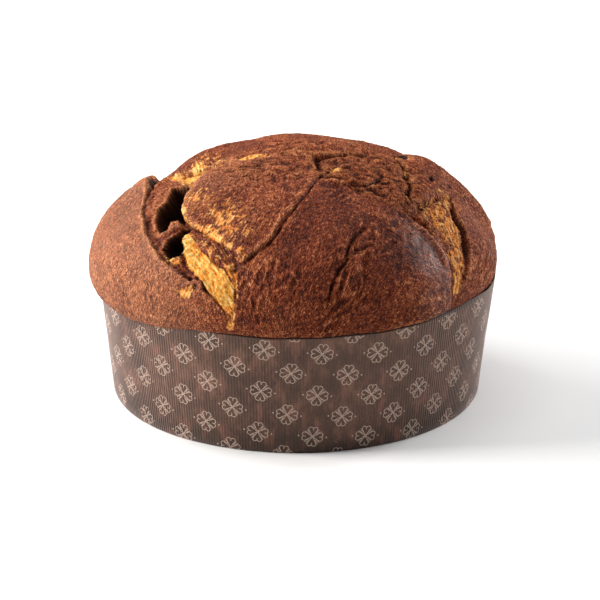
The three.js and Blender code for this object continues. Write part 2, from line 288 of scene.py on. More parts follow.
# %% Outlines
EDGE = 150  # past the rim
lobes = {
    "left": dict(lift=1.3, swell=1.6, over=0.4, pull=40, drawn=0.35, points=[
        (-108, EDGE), (-109, 132), (-109, 128), (-110, 125), (-112, 121), (-114, 118), (-117, 115),
        (-118, 111), (-122, 111), (-125, 109), (-131, 106), (-135, 103), (-139, 100), (-143, 97),
        (-149, 94), (-154, 90), (-161, 87), (-170, 83), (179, 79), (170, 77), (162, 84), (157, 100),
        (155, 120), (154, EDGE), (180, 190), (-140, 190)]),
    "front": dict(lift=0.6, swell=4.2, over=0.0, pull=62, drawn=1.0, points=[
        (-107, EDGE), (-108, 129), (-107.5, 120), (-107.5, 112), (-108.5, 104), (-110, 98), (-112, 88),
        (-111, 68), (-101, 47), (-86, 31), (-62, 34), (-52, 48), (-45, 62), (-42, 77), (-39.5, 95),
        (-39.5, 110), (-41, 124), (-45, EDGE), (-60, 170), (-88, 170)]),
    "middle": dict(lift=2.4, swell=1.9, over=1.0, pull=58, drawn=0.5, points=[
        (-108, 101), (-106, 100), (-103, 92), (-99, 85), (-96, 74), (-91, 62), (-84, 49), (-76, 38),
        (-68, 32), (-55, 16), (-20, 8), (90, 2), (-160, 14), (-170, 28), (-172, 39), (-162, 52),
        (-154, 61), (-151, 66), (-147, 70.5), (-143, 75), (-138, 79), (-131, 82.5), (-126, 84), (-122, 86.5),
        (-118, 89), (-114, 91), (-111, 94), (-109, 98)]),
    "right": dict(lift=1.2, swell=2.2, over=0.8, pull=-62, drawn=0.8, points=[
        (-38, EDGE), (-38, 129), (-35, 122), (-31, 115), (-27, 109.5), (-23, 103.5), (-21, 100), (-19, 95),
        (-16, 90), (-11, 85), (-17, 79), (-25, 76), (-31, 73), (-25, 67), (-11, 61), (8, 56), (20, 57),
        (30, 66), (38, 82), (43, 102), (45, 125), (46, EDGE), (30, 190), (-20, 190)]),
    "back": dict(lift=1.4, swell=2.0, over=0.8, pull=100, drawn=0.5, points=[
        (50, EDGE), (50, 126), (48, 104), (42, 84), (31, 64), (22, 52), (18, 38), (14, 24), (10, 12),
        (150, 6), (-165, 18), (-174, 30), (168, 38), (156, 47), (150, 62), (149, 84), (148, 108),
        (149, EDGE), (125, 190), (75, 190)]),
}
tears = {
    "top": dict(lift=2.0, cracked=0.6, border=5.0, points=[
        (-71, 33), (-54, 20), (-20, 14), (10, 30), (19, 54), (-8, 61), (-29, 73), (-39, 73),
        (-43, 57), (-51, 46)]),
    "right wedge": dict(lift=-0.4, cracked=0.25, border=1.6, points=[
        (-36, 80), (-26, 78), (-14, 81), (-9, 86), (-12, 92), (-16, 98), (-21, 105), (-27, 112), (-32, 118),
        (-36, 127), (-40, 131), (-41, 121), (-40, 108), (-38, 96), (-35, 87)]),
    "wedge": dict(lift=-0.3, cracked=0.15, border=1.6, points=[
        (-134, 86), (-132, 92), (-129, 97), (-127, 101), (-125, 105), (-122, 108), (-118, 112), (-116, 116),
        (-113, 120), (-111, 123), (-109, 129), (-108, 135), (-106, 135), (-107, 128), (-107, 116),
        (-107, 108), (-109, 104), (-113, 101), (-118, 97), (-122, 93), (-126, 90), (-130, 86)]),
    "tongue": dict(lift=1.0, cracked=0.35, border=2.6, points=[
        (-132, 83), (-126, 83), (-120, 86), (-113, 90), (-108, 95), (-108, 101), (-111, 105), (-115, 102),
        (-119, 98), (-123, 95), (-127, 91), (-131, 87)]),
    "left": dict(lift=0.5, cracked=0.3, border=1.5, points=[
        (174, 68), (-175, 80), (-166, 86), (-154, 91), (-143, 98), (-135, 103), (-126, 109), (-121, 111),
        (-120, 109), (-125, 104), (-129, 97), (-133, 87), (-142, 78), (-151, 68), (-156, 60), (-168, 60)]),
}
caves = {
    "big": dict(depth=16.0, points=[
        (-154, 60), (-163, 62), (-165, 68), (-160, 72.5), (-157, 77), (-155.5, 81), (-151, 85.5), (-146, 89),
        (-141.5, 91), (-141, 88), (-143, 84), (-141, 81.5), (-138, 80), (-139, 78), (-143, 75), (-147, 71),
        (-151, 66), (-152, 62)]),
    "small": dict(depth=11.0, points=[
        (-131, 83), (-134, 84), (-135, 88), (-136, 93), (-136, 97), (-134.5, 101), (-131, 102), (-129.5, 100),
        (-129, 97), (-131, 93), (-133, 88), (-132, 85)]),
}
# Lines that stand up (plus) or cut in (minus): height, half width and points.
lines = {
    "left seam": (1.0, 0.9, [(172, 78.6), (179, 80.6), (-170, 84.1), (-161, 88.1), (-154, 91.1), (-149, 95.1),
                             (-143, 98.1), (-139, 101.1), (-135, 104.1), (-131, 107.1), (-125, 110.6)]),
    "seam groove": (-0.7, 0.9, [(-176, 76), (-167, 80), (-157, 85), (-150, 90), (-141, 95), (-135, 100)]),
    "flap": (2.4, 1.5, [(-144, 93), (-140, 91), (-138.5, 88), (-137, 85), (-134, 82.5), (-130, 81)]),
    "rolled edge": (2.3, 2.6, [(-72, 38), (-58, 42), (-47, 52), (-45, 61), (-42, 70), (-41, 78), (-40, 88),
                               (-40, 98), (-41, 108), (-42, 116)]),
    "middle edge": (0.7, 1.9, [(-108.5, 100.8), (-104.5, 93.7), (-99.6, 84.6), (-96.6, 73.6), (-91.7, 61.5),
                               (-84.8, 48.4), (-76.9, 37.3), (-69.9, 32.3)]),
    "middle groove": (-1.8, 0.8, [(-107.2, 101.4), (-103.1, 94.5), (-98.1, 85.6), (-95, 74.7), (-89.8, 62.8),
                                  (-82.7, 50), (-74.5, 39.1), (-67.5, 34.2)]),
    "front fold": (-2.2, 1.2, [(-63, 80), (-66, 83), (-70, 87), (-73.5, 93), (-74.5, 98.5), (-77.5, 104.5),
                               (-80, 112), (-81.5, 119), (-83, 124)]),
    "fold branch": (-1.8, 1.1, [(-74, 99), (-70.5, 94.5), (-66.5, 93), (-62, 93)]),
    "fold beside": (-1.2, 1.6, [(-61, 84), (-66, 92), (-69, 100), (-70, 108), (-73, 116)]),
    "fold swelling": (1.1, 2.2, [(-62, 88), (-68, 96), (-73, 106), (-76, 114), (-77, 122)]),
    "top crack": (-2.6, 1.2, [(-156, 19), (-162, 11), (172, 4), (68, 6), (-20, 9), (8, 18), (24, 28)]),
    "peak crack": (-1.9, 1.0, [(-71, 33), (-60, 32), (-52, 30), (-28, 26), (-19, 31), (-9, 38), (15, 40)]),
    "front crack": (-2.4, 1.1, [(-70, 36), (-60, 39), (-51, 45), (-44, 50), (-34, 50), (-20, 50)]),
    "slant crack": (-2.0, 1.0, [(-34, 50), (-30, 57), (-33, 66), (-38, 74)]),
    "right crack": (-3.4, 1.4, [(17, 55), (9, 56), (-4, 57), (-13, 60), (-22, 64), (-30, 68), (-34, 75)]),
    "right split": (-4.6, 1.0, [(-13, 87), (-17, 90), (-20, 95), (-22, 100), (-24.5, 104), (-28, 109),
                                (-32, 114)]),
    "slit": (-1.1, 0.7, [(-112, 68), (-112, 76)]),
    "second slit": (-1.0, 0.6, [(-100, 69), (-99, 75)]),
    "nick": (-2.0, 0.9, [(-117, 110), (-119, 113.5), (-121, 116), (-124, 118.5)]),
}
# Painted highlight on the crest of each seam, and the cracks that run on without a break.
CREST_HIGHLIGHT = {"left seam": 1.0, "flap": 1.0, "rolled edge": 0.35, "middle edge": 0.35}
UNBROKEN = ("front fold", "right crack", "right split")
# Small holes that gas left: azimuth, reach, radius and depth.
pits = [(20, 61, 2.6, 4.5), (31, 64, 1.8, 3.0), (-2, 72.5, 1.6, 3.0), (3, 84.5, 1.7, 3.0),
        (178, 77, 2.0, 2.4)]
# Where the torn crumb stayed golden: strength, softness of the border in mm, and outline. At less
# than full strength brown skin and golden crumb are mixed in flakes.
golden = {
    "wedge": (1.3, 1.5, [
        (-133, 86), (-132, 91), (-129, 97), (-127, 100.5), (-125, 104), (-122, 107), (-118, 111), (-116, 115),
        (-113, 119), (-111, 122), (-109, 125), (-107.5, 123), (-107.5, 118), (-108, 112),
        (-110, 108), (-112, 104), (-115, 102), (-118, 99), (-122, 95), (-125, 93), (-130, 87)]),
    "tip of the wedge": (0.72, 1.0, [(-111, 121), (-109.5, 126), (-109, 136), (-107.2, 136), (-107, 121)]),
    "beside the cave": (0.82, 1.8, [
        (-151, 66), (-147, 70), (-143, 75), (-139, 78), (-138, 80), (-131, 82), (-126, 84), (-125, 83),
        (-128, 81), (-132, 80), (-135, 78), (-140, 74), (-145, 70), (-148, 67)]),
    "over the wedge": (0.84, 3.0, [
        (-127, 82), (-124, 79), (-120, 82), (-117, 84), (-114, 87), (-111, 90), (-111, 93), (-114, 91),
        (-117, 89.5), (-120, 88.5), (-124, 86.5)]),
    "higher up": (0.62, 3.0, [
        (-127, 77), (-125, 70), (-121, 66), (-117, 67), (-115, 73), (-114, 80), (-113, 86), (-116, 86),
        (-119, 83), (-122, 79), (-123, 76)]),
    "by the lip": (0.62, 2.0, [(-147, 69), (-146, 66), (-139, 65), (-136, 67), (-140, 71)]),
    "foot of the lobe": (0.62, 1.5, [(-110, 92), (-108, 90), (-106, 93), (-106, 97), (-108, 97), (-109, 94)]),
    "tongue": (0.66, 3.0, [
        (-130, 84.5), (-126, 85.5), (-122, 87.5), (-118, 90), (-113, 93), (-109, 98), (-112, 104),
        (-115, 101), (-119, 97), (-123, 94), (-127, 90), (-131, 86)]),
    "slope of the middle lobe": (0.38, 7.0, [
        (-155, 67), (-154, 61), (-145, 58), (-131, 60), (-118, 60), (-108, 74), (-105, 90), (-107, 102),
        (-116, 99), (-122, 88), (-134, 80), (-143, 74)]),
    "right of the wedge": (0.75, 1.8, [
        (-114, 98), (-110, 98.5), (-108, 104), (-106.5, 110), (-106.5, 117), (-108, 113), (-110, 108.5),
        (-112, 103.5)]),
    "left of the crown": (1.0, 3.0, [
        (-179, 68), (170, 68), (158, 69), (147, 71), (142, 67), (160, 54), (-176, 50), (-169, 55),
        (-162, 59), (-170, 64)]),
    "behind the crown": (0.45, 6.0, [
        (147, 72), (138, 76), (133, 71), (136, 58), (167, 38), (-166, 44), (-172, 53)]),
    "top": (0.8, 2.2, [(-176, 31), (168, 28), (166, 22), (172, 17), (-165, 13), (-154, 17), (-165, 23)]),
    "speck": (0.8, 1.6, [(-54, 30), (-44, 27), (-35, 27), (-39, 32), (-49, 33)]),
    "right wedge": (0.62, 3.0, [
        (-19, 82), (-29, 81), (-32, 87), (-34, 96), (-36, 104), (-38.5, 111), (-39, 117), (-40, 126),
        (-38, 127), (-35, 121), (-33, 116), (-31, 112), (-27, 106), (-23, 101), (-20, 94), (-15, 88),
        (-15, 83)]),
    "over the right wedge": (0.46, 6.0, [
        (-36, 84), (-29, 74), (-18, 74), (-8, 79), (-9, 86), (-17, 88), (-24, 85)]),
    "foot of the right wedge": (0.7, 1.4, [
        (-39, 115), (-34, 112), (-33, 117), (-35, 121), (-38, 128), (-40.5, 127)]),
    "right crack": (0.6, 1.8, [(4, 56), (-9, 58), (-20, 62), (-20, 66), (-9, 61), (3, 58)]),
    "nick": (0.8, 1.6, [(-126, 117), (-124, 119), (-122, 121), (-120, 119), (-120, 114.5), (-123, 116)]),
    "ledge": (0.8, 1.6, [(-134, 102), (-131, 101), (-128, 102), (-127, 104), (-128, 106), (-131, 105)]),
    "back left": (0.7, 3.0, [
        (156, 66), (158, 84), (155, 104), (153, 134), (150, 134), (148, 104), (147, 80)]),
}
# A tongue of thin brown skin that lies over the golden crumb of the wedge.
brown_tongue = [(-130, 84.5), (-126, 85.5), (-122, 87.5), (-118, 90), (-113, 93), (-110, 94), (-109, 98),
                (-110, 102), (-112, 104), (-115, 101), (-119, 97), (-123, 94), (-127, 90), (-131, 86)]
# Broad hollows, and rises (minus), that make the dome lopsided: azimuth, reach, depth and radius.
slumps = [(-176, 104, 2.6, 30), (146, 62, 4.4, 36), (90, 12, 0.8, 40), (-68, 104, 1.2, 11),
          (175, 80, -5.6, 12), (154, 64, 3.0, 15), (157, 78, 6.0, 11), (149, 86, 2.6, 9), (143, 99, 3.8, 15),
          (150, 46, 1.4, 18), (18, 72, -3.0, 14), (29, 74, -1.6, 8), (45, 66, 4.0, 11), (62, 46, 1.8, 17),
          (5, 104, 4.6, 19), (-6, 110, 2.0, 14)]
# Skin that is rough and finely cracked all round the crown.
rough_crown = [(-168, 46), (-140, 46), (-112, 44), (-92, 36), (-66, 36), (-52, 52), (-44, 68), (-32, 78),
               (-16, 72), (12, 62), (34, 48), (60, 34), (100, 30), (150, 34), (178, 42)]
for shape in [*lobes.values(), *tears.values(), *caves.values()]:
    shape["line"] = curve(shape["points"], closed=True)
print("lobes:", ", ".join(lobes), "| cracks and seams:", len(lines))

# %% [markdown]
# ## Torn dough
# The relief could be sculpted by hand. Here functions give the height over the plain dome for any
# place of the flat map, so the mesh can be as fine as it needs to be. The torn dough comes first,
# because it lies lowest: a rough floor of crumb, and over it the tears, with flakes and cracks.

# %% Torn dough


def area(points, x, y, low, high):
    """A mask: the S-shaped ease of the distance inside an outline, from low to high mm."""
    return smooth(low, high, distance(curve(points, True), x, y, True))


def offset(x, y, azimuth, reach):
    """How far every place lies from one place of the crust, in x and in y."""
    at_x, at_y = flat([(azimuth, reach)])[0]
    return x - at_x, y - at_y


def golden_share(x, y):
    """How golden the crumb is: the strongest of the golden areas, less the brown tongue."""
    share = np.zeros(x.shape)
    for strength, softness, points in golden.values():
        share = np.maximum(share, strength * area(points, x, y, -softness, softness))
    return share * (1 - 0.34 * area(brown_tongue, x, y, -1.6, 2.2))


def torn_patterns(x, y):
    """The patterns of torn dough: sharp splits and finer flakes, which are ridged noise drawn out
    sideways, crumbs, which are small lumps, and the levels of stepped flakes with their foot."""
    split = crags(x / 2.3, y, 6.5, 31, 2)
    flakes = crags(x / 1.7, y, 2.7, 37, 2)
    crumbs = 0.7 * lumps(x, y, 3.4, 23) + 0.7 * lumps(x, y, 1.8, 27)
    level, foot = plates(x / 1.9 + 0.35 * y, y, 7.5, 61)
    return SimpleNamespace(split=split, flakes=flakes, crumbs=crumbs, level=level, foot=foot)


def torn_dough(x, y, torn, fray):
    """Height of the floor, height of floor and tears together, and the painted shade in the cracks. A
    tear is its lift plus noise less its cracks, blended in by the distance inside its outline."""
    floor = -3.2 + 0.8 * uneven(x, y, 12, 21) + 1.4 * (crags(x, y, 4.6, 11) - 0.5) + 0.7 * torn.crumbs
    flaky = 0.5 * torn.level + 0.12 * lumps(x, y, 1.9, 27) + 0.3 * lumps(x, y, 4, 23)
    dark = np.maximum(smooth(0.64, 0.90, torn.split), torn.foot)
    height, deep = floor.copy(), np.zeros(x.shape)
    for tear in tears.values():
        d = distance(tear["line"], x, y, True) + 0.8 * fray
        cracks = tear["cracked"] * (3.0 * torn.split**5 + 0.4 * torn.flakes**4)
        top = tear["lift"] + 0.9 * uneven(x, y, 12, 33) - cracks
        top = top + (flaky if tear["cracked"] > 0.5 else 0.6 * torn.crumbs)
        ease = smooth(-tear["border"], tear["border"], d)
        height = np.maximum(height, floor + (top - floor) * ease)
        deep = np.maximum(deep, ease * tear["cracked"] * dark * 0.95)
    return floor, height, deep


print("golden areas:", len(golden), "| pits:", len(pits), "| slumps:", len(slumps))

# %% [markdown]
# ## Lobes over the torn dough
# A lobe is a sheet of crust that lies over its neighbours. The highest of floor, tears and lobes
# wins, which makes one lobe lie over the next. A lobe's edge is also pushed outwards, so that its
# lip hangs over what lies beside it, which a height alone can't show.

# %% Lobes
PROBE = 0.4  # how far from a place the slope of a distance is measured
SWELL_REACH = 18  # mm behind its edge over which a lobe swells
CRUMB_PULL = -65.0  # degrees


def lay_lobes(x, y, fray, floor, height, deep, low):
    """Height and painted shade with the lobes laid over, and for each place the share of skin, the
    number of its lobe, its pull, and the push of the lip: against the slope of the distance."""
    # Lobes end softly at the tongue and over the right wedge, and in a clear step elsewhere.
    over_right = golden["over the right wedge"][2]
    edge = 1.1 + 2.2 * area(tears["tongue"]["points"], x, y, -4, 2) + 3.0 * area(over_right, x, y, -3, 2)
    push_x, push_y = np.zeros(x.shape), np.zeros(x.shape)
    pull = np.full(x.shape, CRUMB_PULL)
    skin, which = np.zeros(x.shape), np.zeros(x.shape)
    for number, lobe in enumerate(lobes.values(), 1):
        line = lobe["line"]
        d = distance(line, x, y, True) + fray
        top = lobe["lift"] + lobe["swell"] * (1 - np.exp(-np.maximum(d, 0) / SWELL_REACH))
        made = floor + (top - floor) * smooth(-edge, edge, d)
        wins = made >= height
        height = np.where(wins, made, height)
        skin = np.where(wins, smooth(-0.5, 1.0, d), skin)
        deep = np.where(wins, deep * (1 - smooth(0, 1.5, d)), deep)
        pull = np.where(wins & (d > -1), lobe["pull"], pull)
        which = np.where(wins & (d > -1), number, which)
        if lobe["over"]:
            gx = distance(line, x + PROBE, y, True) - distance(line, x - PROBE, y, True)
            gy = distance(line, x, y + PROBE, True) - distance(line, x, y - PROBE, True)
            length = np.hypot(gx, gy) + 1e-6
            out = lobe["over"] * smooth(-0.3, 0.7, d) * smooth(6.0, 0.7, d) * wins * (1 - low)
            push_x -= out * gx / length
            push_y -= out * gy / length
    return height, deep, SimpleNamespace(skin=skin, which=which, pull=pull, push_x=push_x, push_y=push_y)


print("lips that hang over:", ", ".join(name for name, lobe in lobes.items() if lobe["over"]))

# %% [markdown]
# ## Cracks, caves and wrinkles
# Cracks could be cut with boolean solids, but they are only a millimetre or two wide. A bell curve
# of the distance to a line cuts them into the height instead, and caves, pits and slumps are taken
# off in the same way. Last come the skin's own wrinkles, along the pull of each lobe.

# %% Cuts and wrinkles
# Cracks deeper than these wander, are darkened with painted shade and break up.
WANDERS, DARKENS, BREAKS_UP = -1.3, -1.5, -1.9


def cut_lines(x, y, height, deep):
    """Adds the seams and cuts the cracks: each is a bell curve of the distance to its line, which
    fades out at its ends and wanders a little. The crests of the seams get a painted highlight."""
    crest = np.zeros(x.shape)
    for name, (rise, half, points) in lines.items():
        wander = 0.8 if rise < WANDERS and name != "middle groove" else 0.15
        u = x + wander * uneven(x, y, 7, 51) + 0.5 * wander * lumps(x, y, 2, 55)
        v = y + wander * uneven(x, y, 7, 53) + 0.5 * wander * lumps(x, y, 2, 57)
        line = curve(points)
        d = distance(line, u, v) / half
        first, last = line[0], line[-1]
        ends = np.minimum(np.hypot(u - first[0], v - first[1]), np.hypot(u - last[0], v - last[1]))
        fade = smooth(0, 8, ends)
        if rise < 0:
            fade = fade * (0.8 + 0.5 * lumps(x, y, 6, 59))
        if rise < BREAKS_UP:
            whole = 0.5 if name in UNBROKEN else 0
            fade = fade * smooth(-0.45, 0.25, lumps(x, y, 9, 58) + whole)
        height += rise * fade * np.exp(-d * d)
        if name in CREST_HIGHLIGHT:
            crest = np.maximum(crest, fade * np.exp(-1.5 * d * d) * CREST_HIGHLIGHT[name])
        # Deep cracks are darkened as painted shade.
        if rise < DARKENS:
            deep = np.maximum(deep, min(1, -rise / 3) * fade * np.exp(-d * d * 1.2))
    return height, deep * (1 - crest), crest


def cut_holes(x, y, height, deep):
    """Sinks caves and pits by the ease of the distance inside them, darkening them as painted shade,
    and slumps by bell curves.
    """
    for cave in caves.values():
        d = distance(cave["line"], x, y, True) + 0.9 * uneven(x, y, 5, 41) + 0.7 * lumps(x, y, 1.7, 43)
        cut = smooth(-0.6, 2.0, d)
        height -= cave["depth"] * cut * (1 + 0.25 * lumps(x, y, 6, 47) + 0.12 * lumps(x, y, 2, 49))
        deep = np.maximum(deep, smooth(-0.9, 0.2, d))
    for azimuth, reach, radius, depth in pits:
        dx, dy = offset(x, y, azimuth, reach)
        d = np.hypot(dx, 0.45 * dy) + 0.5 * lumps(x, y, 2, 61)
        height -= depth * smooth(radius, 0.6 * radius, d)
        deep = np.maximum(deep, smooth(radius + 0.6, radius - 0.4, d))
    for azimuth, reach, depth, radius in slumps:
        dx, dy = offset(x, y, azimuth, reach)
        height -= depth * np.exp(-(dx**2 + dy**2) / radius**2)
    return height, deep


def wrinkles(x, y, which):
    """Thin crests of streaks along the pull of each lobe, where its skin was drawn tight, and
    small blisters everywhere."""
    tight = smooth(-0.25, 0.45, uneven(x, y, 34, 95, 2))
    wrinkle = np.zeros(x.shape)
    for number, lobe in enumerate(lobes.values(), 1):
        wide = (1 - np.abs(streaks(x, y, lobe["pull"], 4.6, 2.6, 70 + number))) ** 4
        thin = (1 - np.abs(streaks(x, y, lobe["pull"] + 14, 2.3, 3.0, 80 + number))) ** 4
        wrinkle = np.where(which == number, lobe["drawn"] * (1.3 * wide + 0.8 * thin - 0.6), wrinkle)
    return wrinkle * (0.25 + 0.75 * tight) + 0.34 * lumps(x, y, 3.1, 91) + 0.34 * lumps(x, y, 1.7, 93)


print("seams worn pale:", ", ".join(CREST_HIGHLIGHT))

# %% [markdown]
# ## All of the relief
# A real crust is also not one colour: the left lobe and a patch behind it are pale, partly from
# dust and partly as painted light on the side where the key light falls; the front lobe's flank is
# darkened as painted shade, the crests of the seams get a painted highlight, and the front lobe's
# right flank has a soft sheen. These are worked out with the height and stored in the mesh, so that
# the finish follows the shape.

# %% Relief
LEFT, FRONT = 1, 2  # numbers of two lobes


def paleness(x, y, which, crest):
    """How pale the skin is, from dust and from painted light on the left, under 0 where painted shade
    darkens the front lobe's flank, with a painted highlight on the seams' crests, and how much sheen
    it has: products of eases of azimuth and reach."""
    azimuth, reach = np.arctan2(y, x), np.hypot(x, y)
    lit_dusty_end, lit_dusty_full = np.where(y > 0, 36, 75), np.where(y > 0, 10, 35)
    lit_dusty_side = smooth(np.radians(lit_dusty_end), np.radians(lit_dusty_full), apart(azimuth, -172))
    # The front lobe's flank, darkened below as painted shade.
    flank = (which == FRONT) * smooth(26, 48, reach)
    flank = flank * smooth(np.radians(40), np.radians(20), apart(azimuth, -66)) * smooth(124, 104, reach)
    dx, dy = offset(x, y, -158, 44)
    # The left lobe is pale from dust and from painted light on its lit side, and so is a patch behind it.
    pale = 0.15 + 0.85 * (which == LEFT) * lit_dusty_side
    pale = pale + 0.6 * (which != LEFT) * np.exp(-(dx**2 + dy**2) / 34**2)
    # Painted shade on the front lobe's flank, and a painted highlight on the crests of the seams.
    pale = (pale - 0.75 * flank) * (1 - crest) + 2.0 * crest
    sheen = smooth(72, 96, reach) * smooth(np.radians(14), np.radians(3), apart(azimuth, -43))
    return pale, (which == FRONT) * sheen


def relief(x, y):
    """Height, sideways push and finish values at the flat places (x, y)."""
    low = smooth(WIDEST_REACH - RIM_FADE, WIDEST_REACH, np.hypot(x, y))
    crown = area(rough_crown, x, y, -9, 7)
    torn_top = area(tears["top"]["points"], x, y, -4, 3)
    torn_left = area(tears["left"]["points"], x, y, -4, 3)
    gold = golden_share(x, y)
    ragged = 0.25 + 0.8 * torn_left + 0.9 * torn_top + 0.4 * gold
    fray = ragged * (1.3 * uneven(x, y, 9, 3) + 0.8 * lumps(x, y, 2.6, 5))
    torn = torn_patterns(x, y)
    floor, height, deep = torn_dough(x, y, torn, fray)

    # Torn crumb is drawn out into fibres along the wedges.
    fibres = 1 - 2 * np.abs(streaks(x, y, -68, 1.5, 5, 97))
    height += 0.5 * np.clip(gold, 0, 1) * fibres

    height, deep, lobe = lay_lobes(x, y, fray, floor, height, deep, low)
    height, deep, crest = cut_lines(x, y, height, deep)
    height, deep = cut_holes(x, y, height, deep)

    # Long waves of the whole dome, and the rough skin round the crown, with painted shade in its
    # cracks.
    height += 0.7 * np.sin(x / 17 + 1.3) * np.sin(y / 15 - 0.4) + 0.45 * np.sin(x / 8.3 - y / 9.1 + 2.1)
    crown_skin = 0.3 * torn.level + 0.2 * torn.crumbs + 0.9 * lumps(x, y, 7, 25) - 1.6 * torn.split**4
    height += crown * lobe.skin * crown_skin
    deep = np.maximum(deep, crown * np.maximum(0.8 * smooth(0.76, 0.97, torn.split), 0.3 * torn.foot))
    height *= 1 - 0.9 * low

    wrinkle = wrinkles(x, y, lobe.which)
    height += 0.7 * wrinkle * lobe.skin
    rough = np.clip(torn_top + 0.5 * torn_left * (1 - lobe.skin) + 0.5 * crown, 0, 1)
    pale, sheen = paleness(x, y, lobe.which, crest)
    return dict(height=height, push_x=lobe.push_x, push_y=lobe.push_y, pull=lobe.pull, gold=gold,
                deep=deep, rough=rough, wrinkle=wrinkle, pale=pale, sheen=sheen)


print("height at the crown: %.1f mm" % relief(np.array([0.0]), np.array([0.0]))["height"][0])



# %% [markdown]
# ## The bread
# The bread is one closed skin. A fan of rings would crowd hundreds of triangles at the crown, so a
# square sheet of cells is laid over the dome instead, and each square ring of the sheet becomes a
# round ring. The rings run down over the widest place, round the underside, over the paper's rim
# in a narrow slot, and down inside the case. The sheet is finer towards the front.

# %% Sheet
DOME_RINGS, TUCK_RINGS, SLOT_RINGS, BODY_RINGS = 134, 12, 3, 5
RINGS = DOME_RINGS + TUCK_RINGS + SLOT_RINGS + BODY_RINGS
FRONT_SHARE = 0.3
RING_CROWD = 0.045  # rings crowd half-way down the dome, where the tears are
MEAN_HALF = 3  # cells on each side of a place that its mean height is taken from


def sheet_rings():
    """Ring number and azimuth for each corner of the square sheet. Along a square ring the
    azimuth grows evenly, and is then bent so that cells crowd towards the front."""
    n = np.arange(-RINGS, RINGS + 1)
    i, j = np.meshgrid(n, n)
    ring = np.maximum(np.abs(i), np.abs(j))
    sideways = np.abs(i) >= np.abs(j)
    with np.errstate(divide="ignore", invalid="ignore"):
        azimuth = np.where(sideways, np.pi / 4 * j / i, np.pi / 2 - np.pi / 4 * i / j)
    azimuth = azimuth + np.pi * np.where(sideways, i < 0, j < 0)
    azimuth[ring == 0] = 0
    return ring.ravel(), (azimuth - FRONT_SHARE * np.cos(azimuth)).ravel()


def sheet_faces():
    """Two triangles per cell of the sheet, split along the diagonal that follows the rings."""
    side = 2 * RINGS + 1
    a = (np.arange(side - 1)[:, None] * side + np.arange(side - 1)[None, :]).ravel()
    b, c, d = a + 1, a + 1 + side, a + side
    i = a % side - RINGS + 0.5
    j = a // side - RINGS + 0.5
    swap = (i > 0) == (j > 0)
    one = np.where(swap[:, None], np.stack([a, b, d], 1), np.stack([a, b, c], 1))
    two = np.where(swap[:, None], np.stack([b, c, d], 1), np.stack([a, c, d], 1))
    edge = np.concatenate([
        np.arange(side - 1), np.arange(side - 1) * side + side - 1,
        side * side - 1 - np.arange(side - 1), (side - 1 - np.arange(side - 1)) * side])
    centre = np.full(len(edge), side * side)
    return np.concatenate([one, two, np.stack([centre, np.roll(edge, -1), edge], 1)])


def hollows(height):
    """How far each place lies under the mean of the square of cells round it, about 0 to 1 in a
    crack and 0 to -1 on a crest. The mean is a difference of running sums."""
    side, size = 2 * RINGS + 1, 2 * MEAN_HALF + 1
    padded = np.pad(height.reshape(side, side), MEAN_HALF + 1, mode="edge").cumsum(0).cumsum(1)
    box = padded[size:, size:] - padded[:-size, size:] - padded[size:, :-size] + padded[:-size, :-size]
    mean = box[:side, :side] / size**2
    return np.clip((mean.ravel() - height) / 1.2, -1, 1)


print("rings of the sheet:", RINGS)

# %% Points of the bread
GAP, PAPER = 0.35, 0.8  # free space beside the paper, and the thickness of the solid's wall
RIM_GAP, BODY_GAP, FLOOR_GAP = 0.9, 0.7, 0.5
TUCK_REACH = 14.0  # how far the flat map goes on round the underside
# Where the paper stands off, the underside draws in, ends lower, and the slot opens downwards.
DRAW_IN, DRAW_DOWN, OPEN_DEPTH = 3.0, 1.3, 9.0
SPILL_UNDER = 0.6  # how far under the rim the spill ends
NARROWER = 8.0  # the body is at most this much narrower than the case


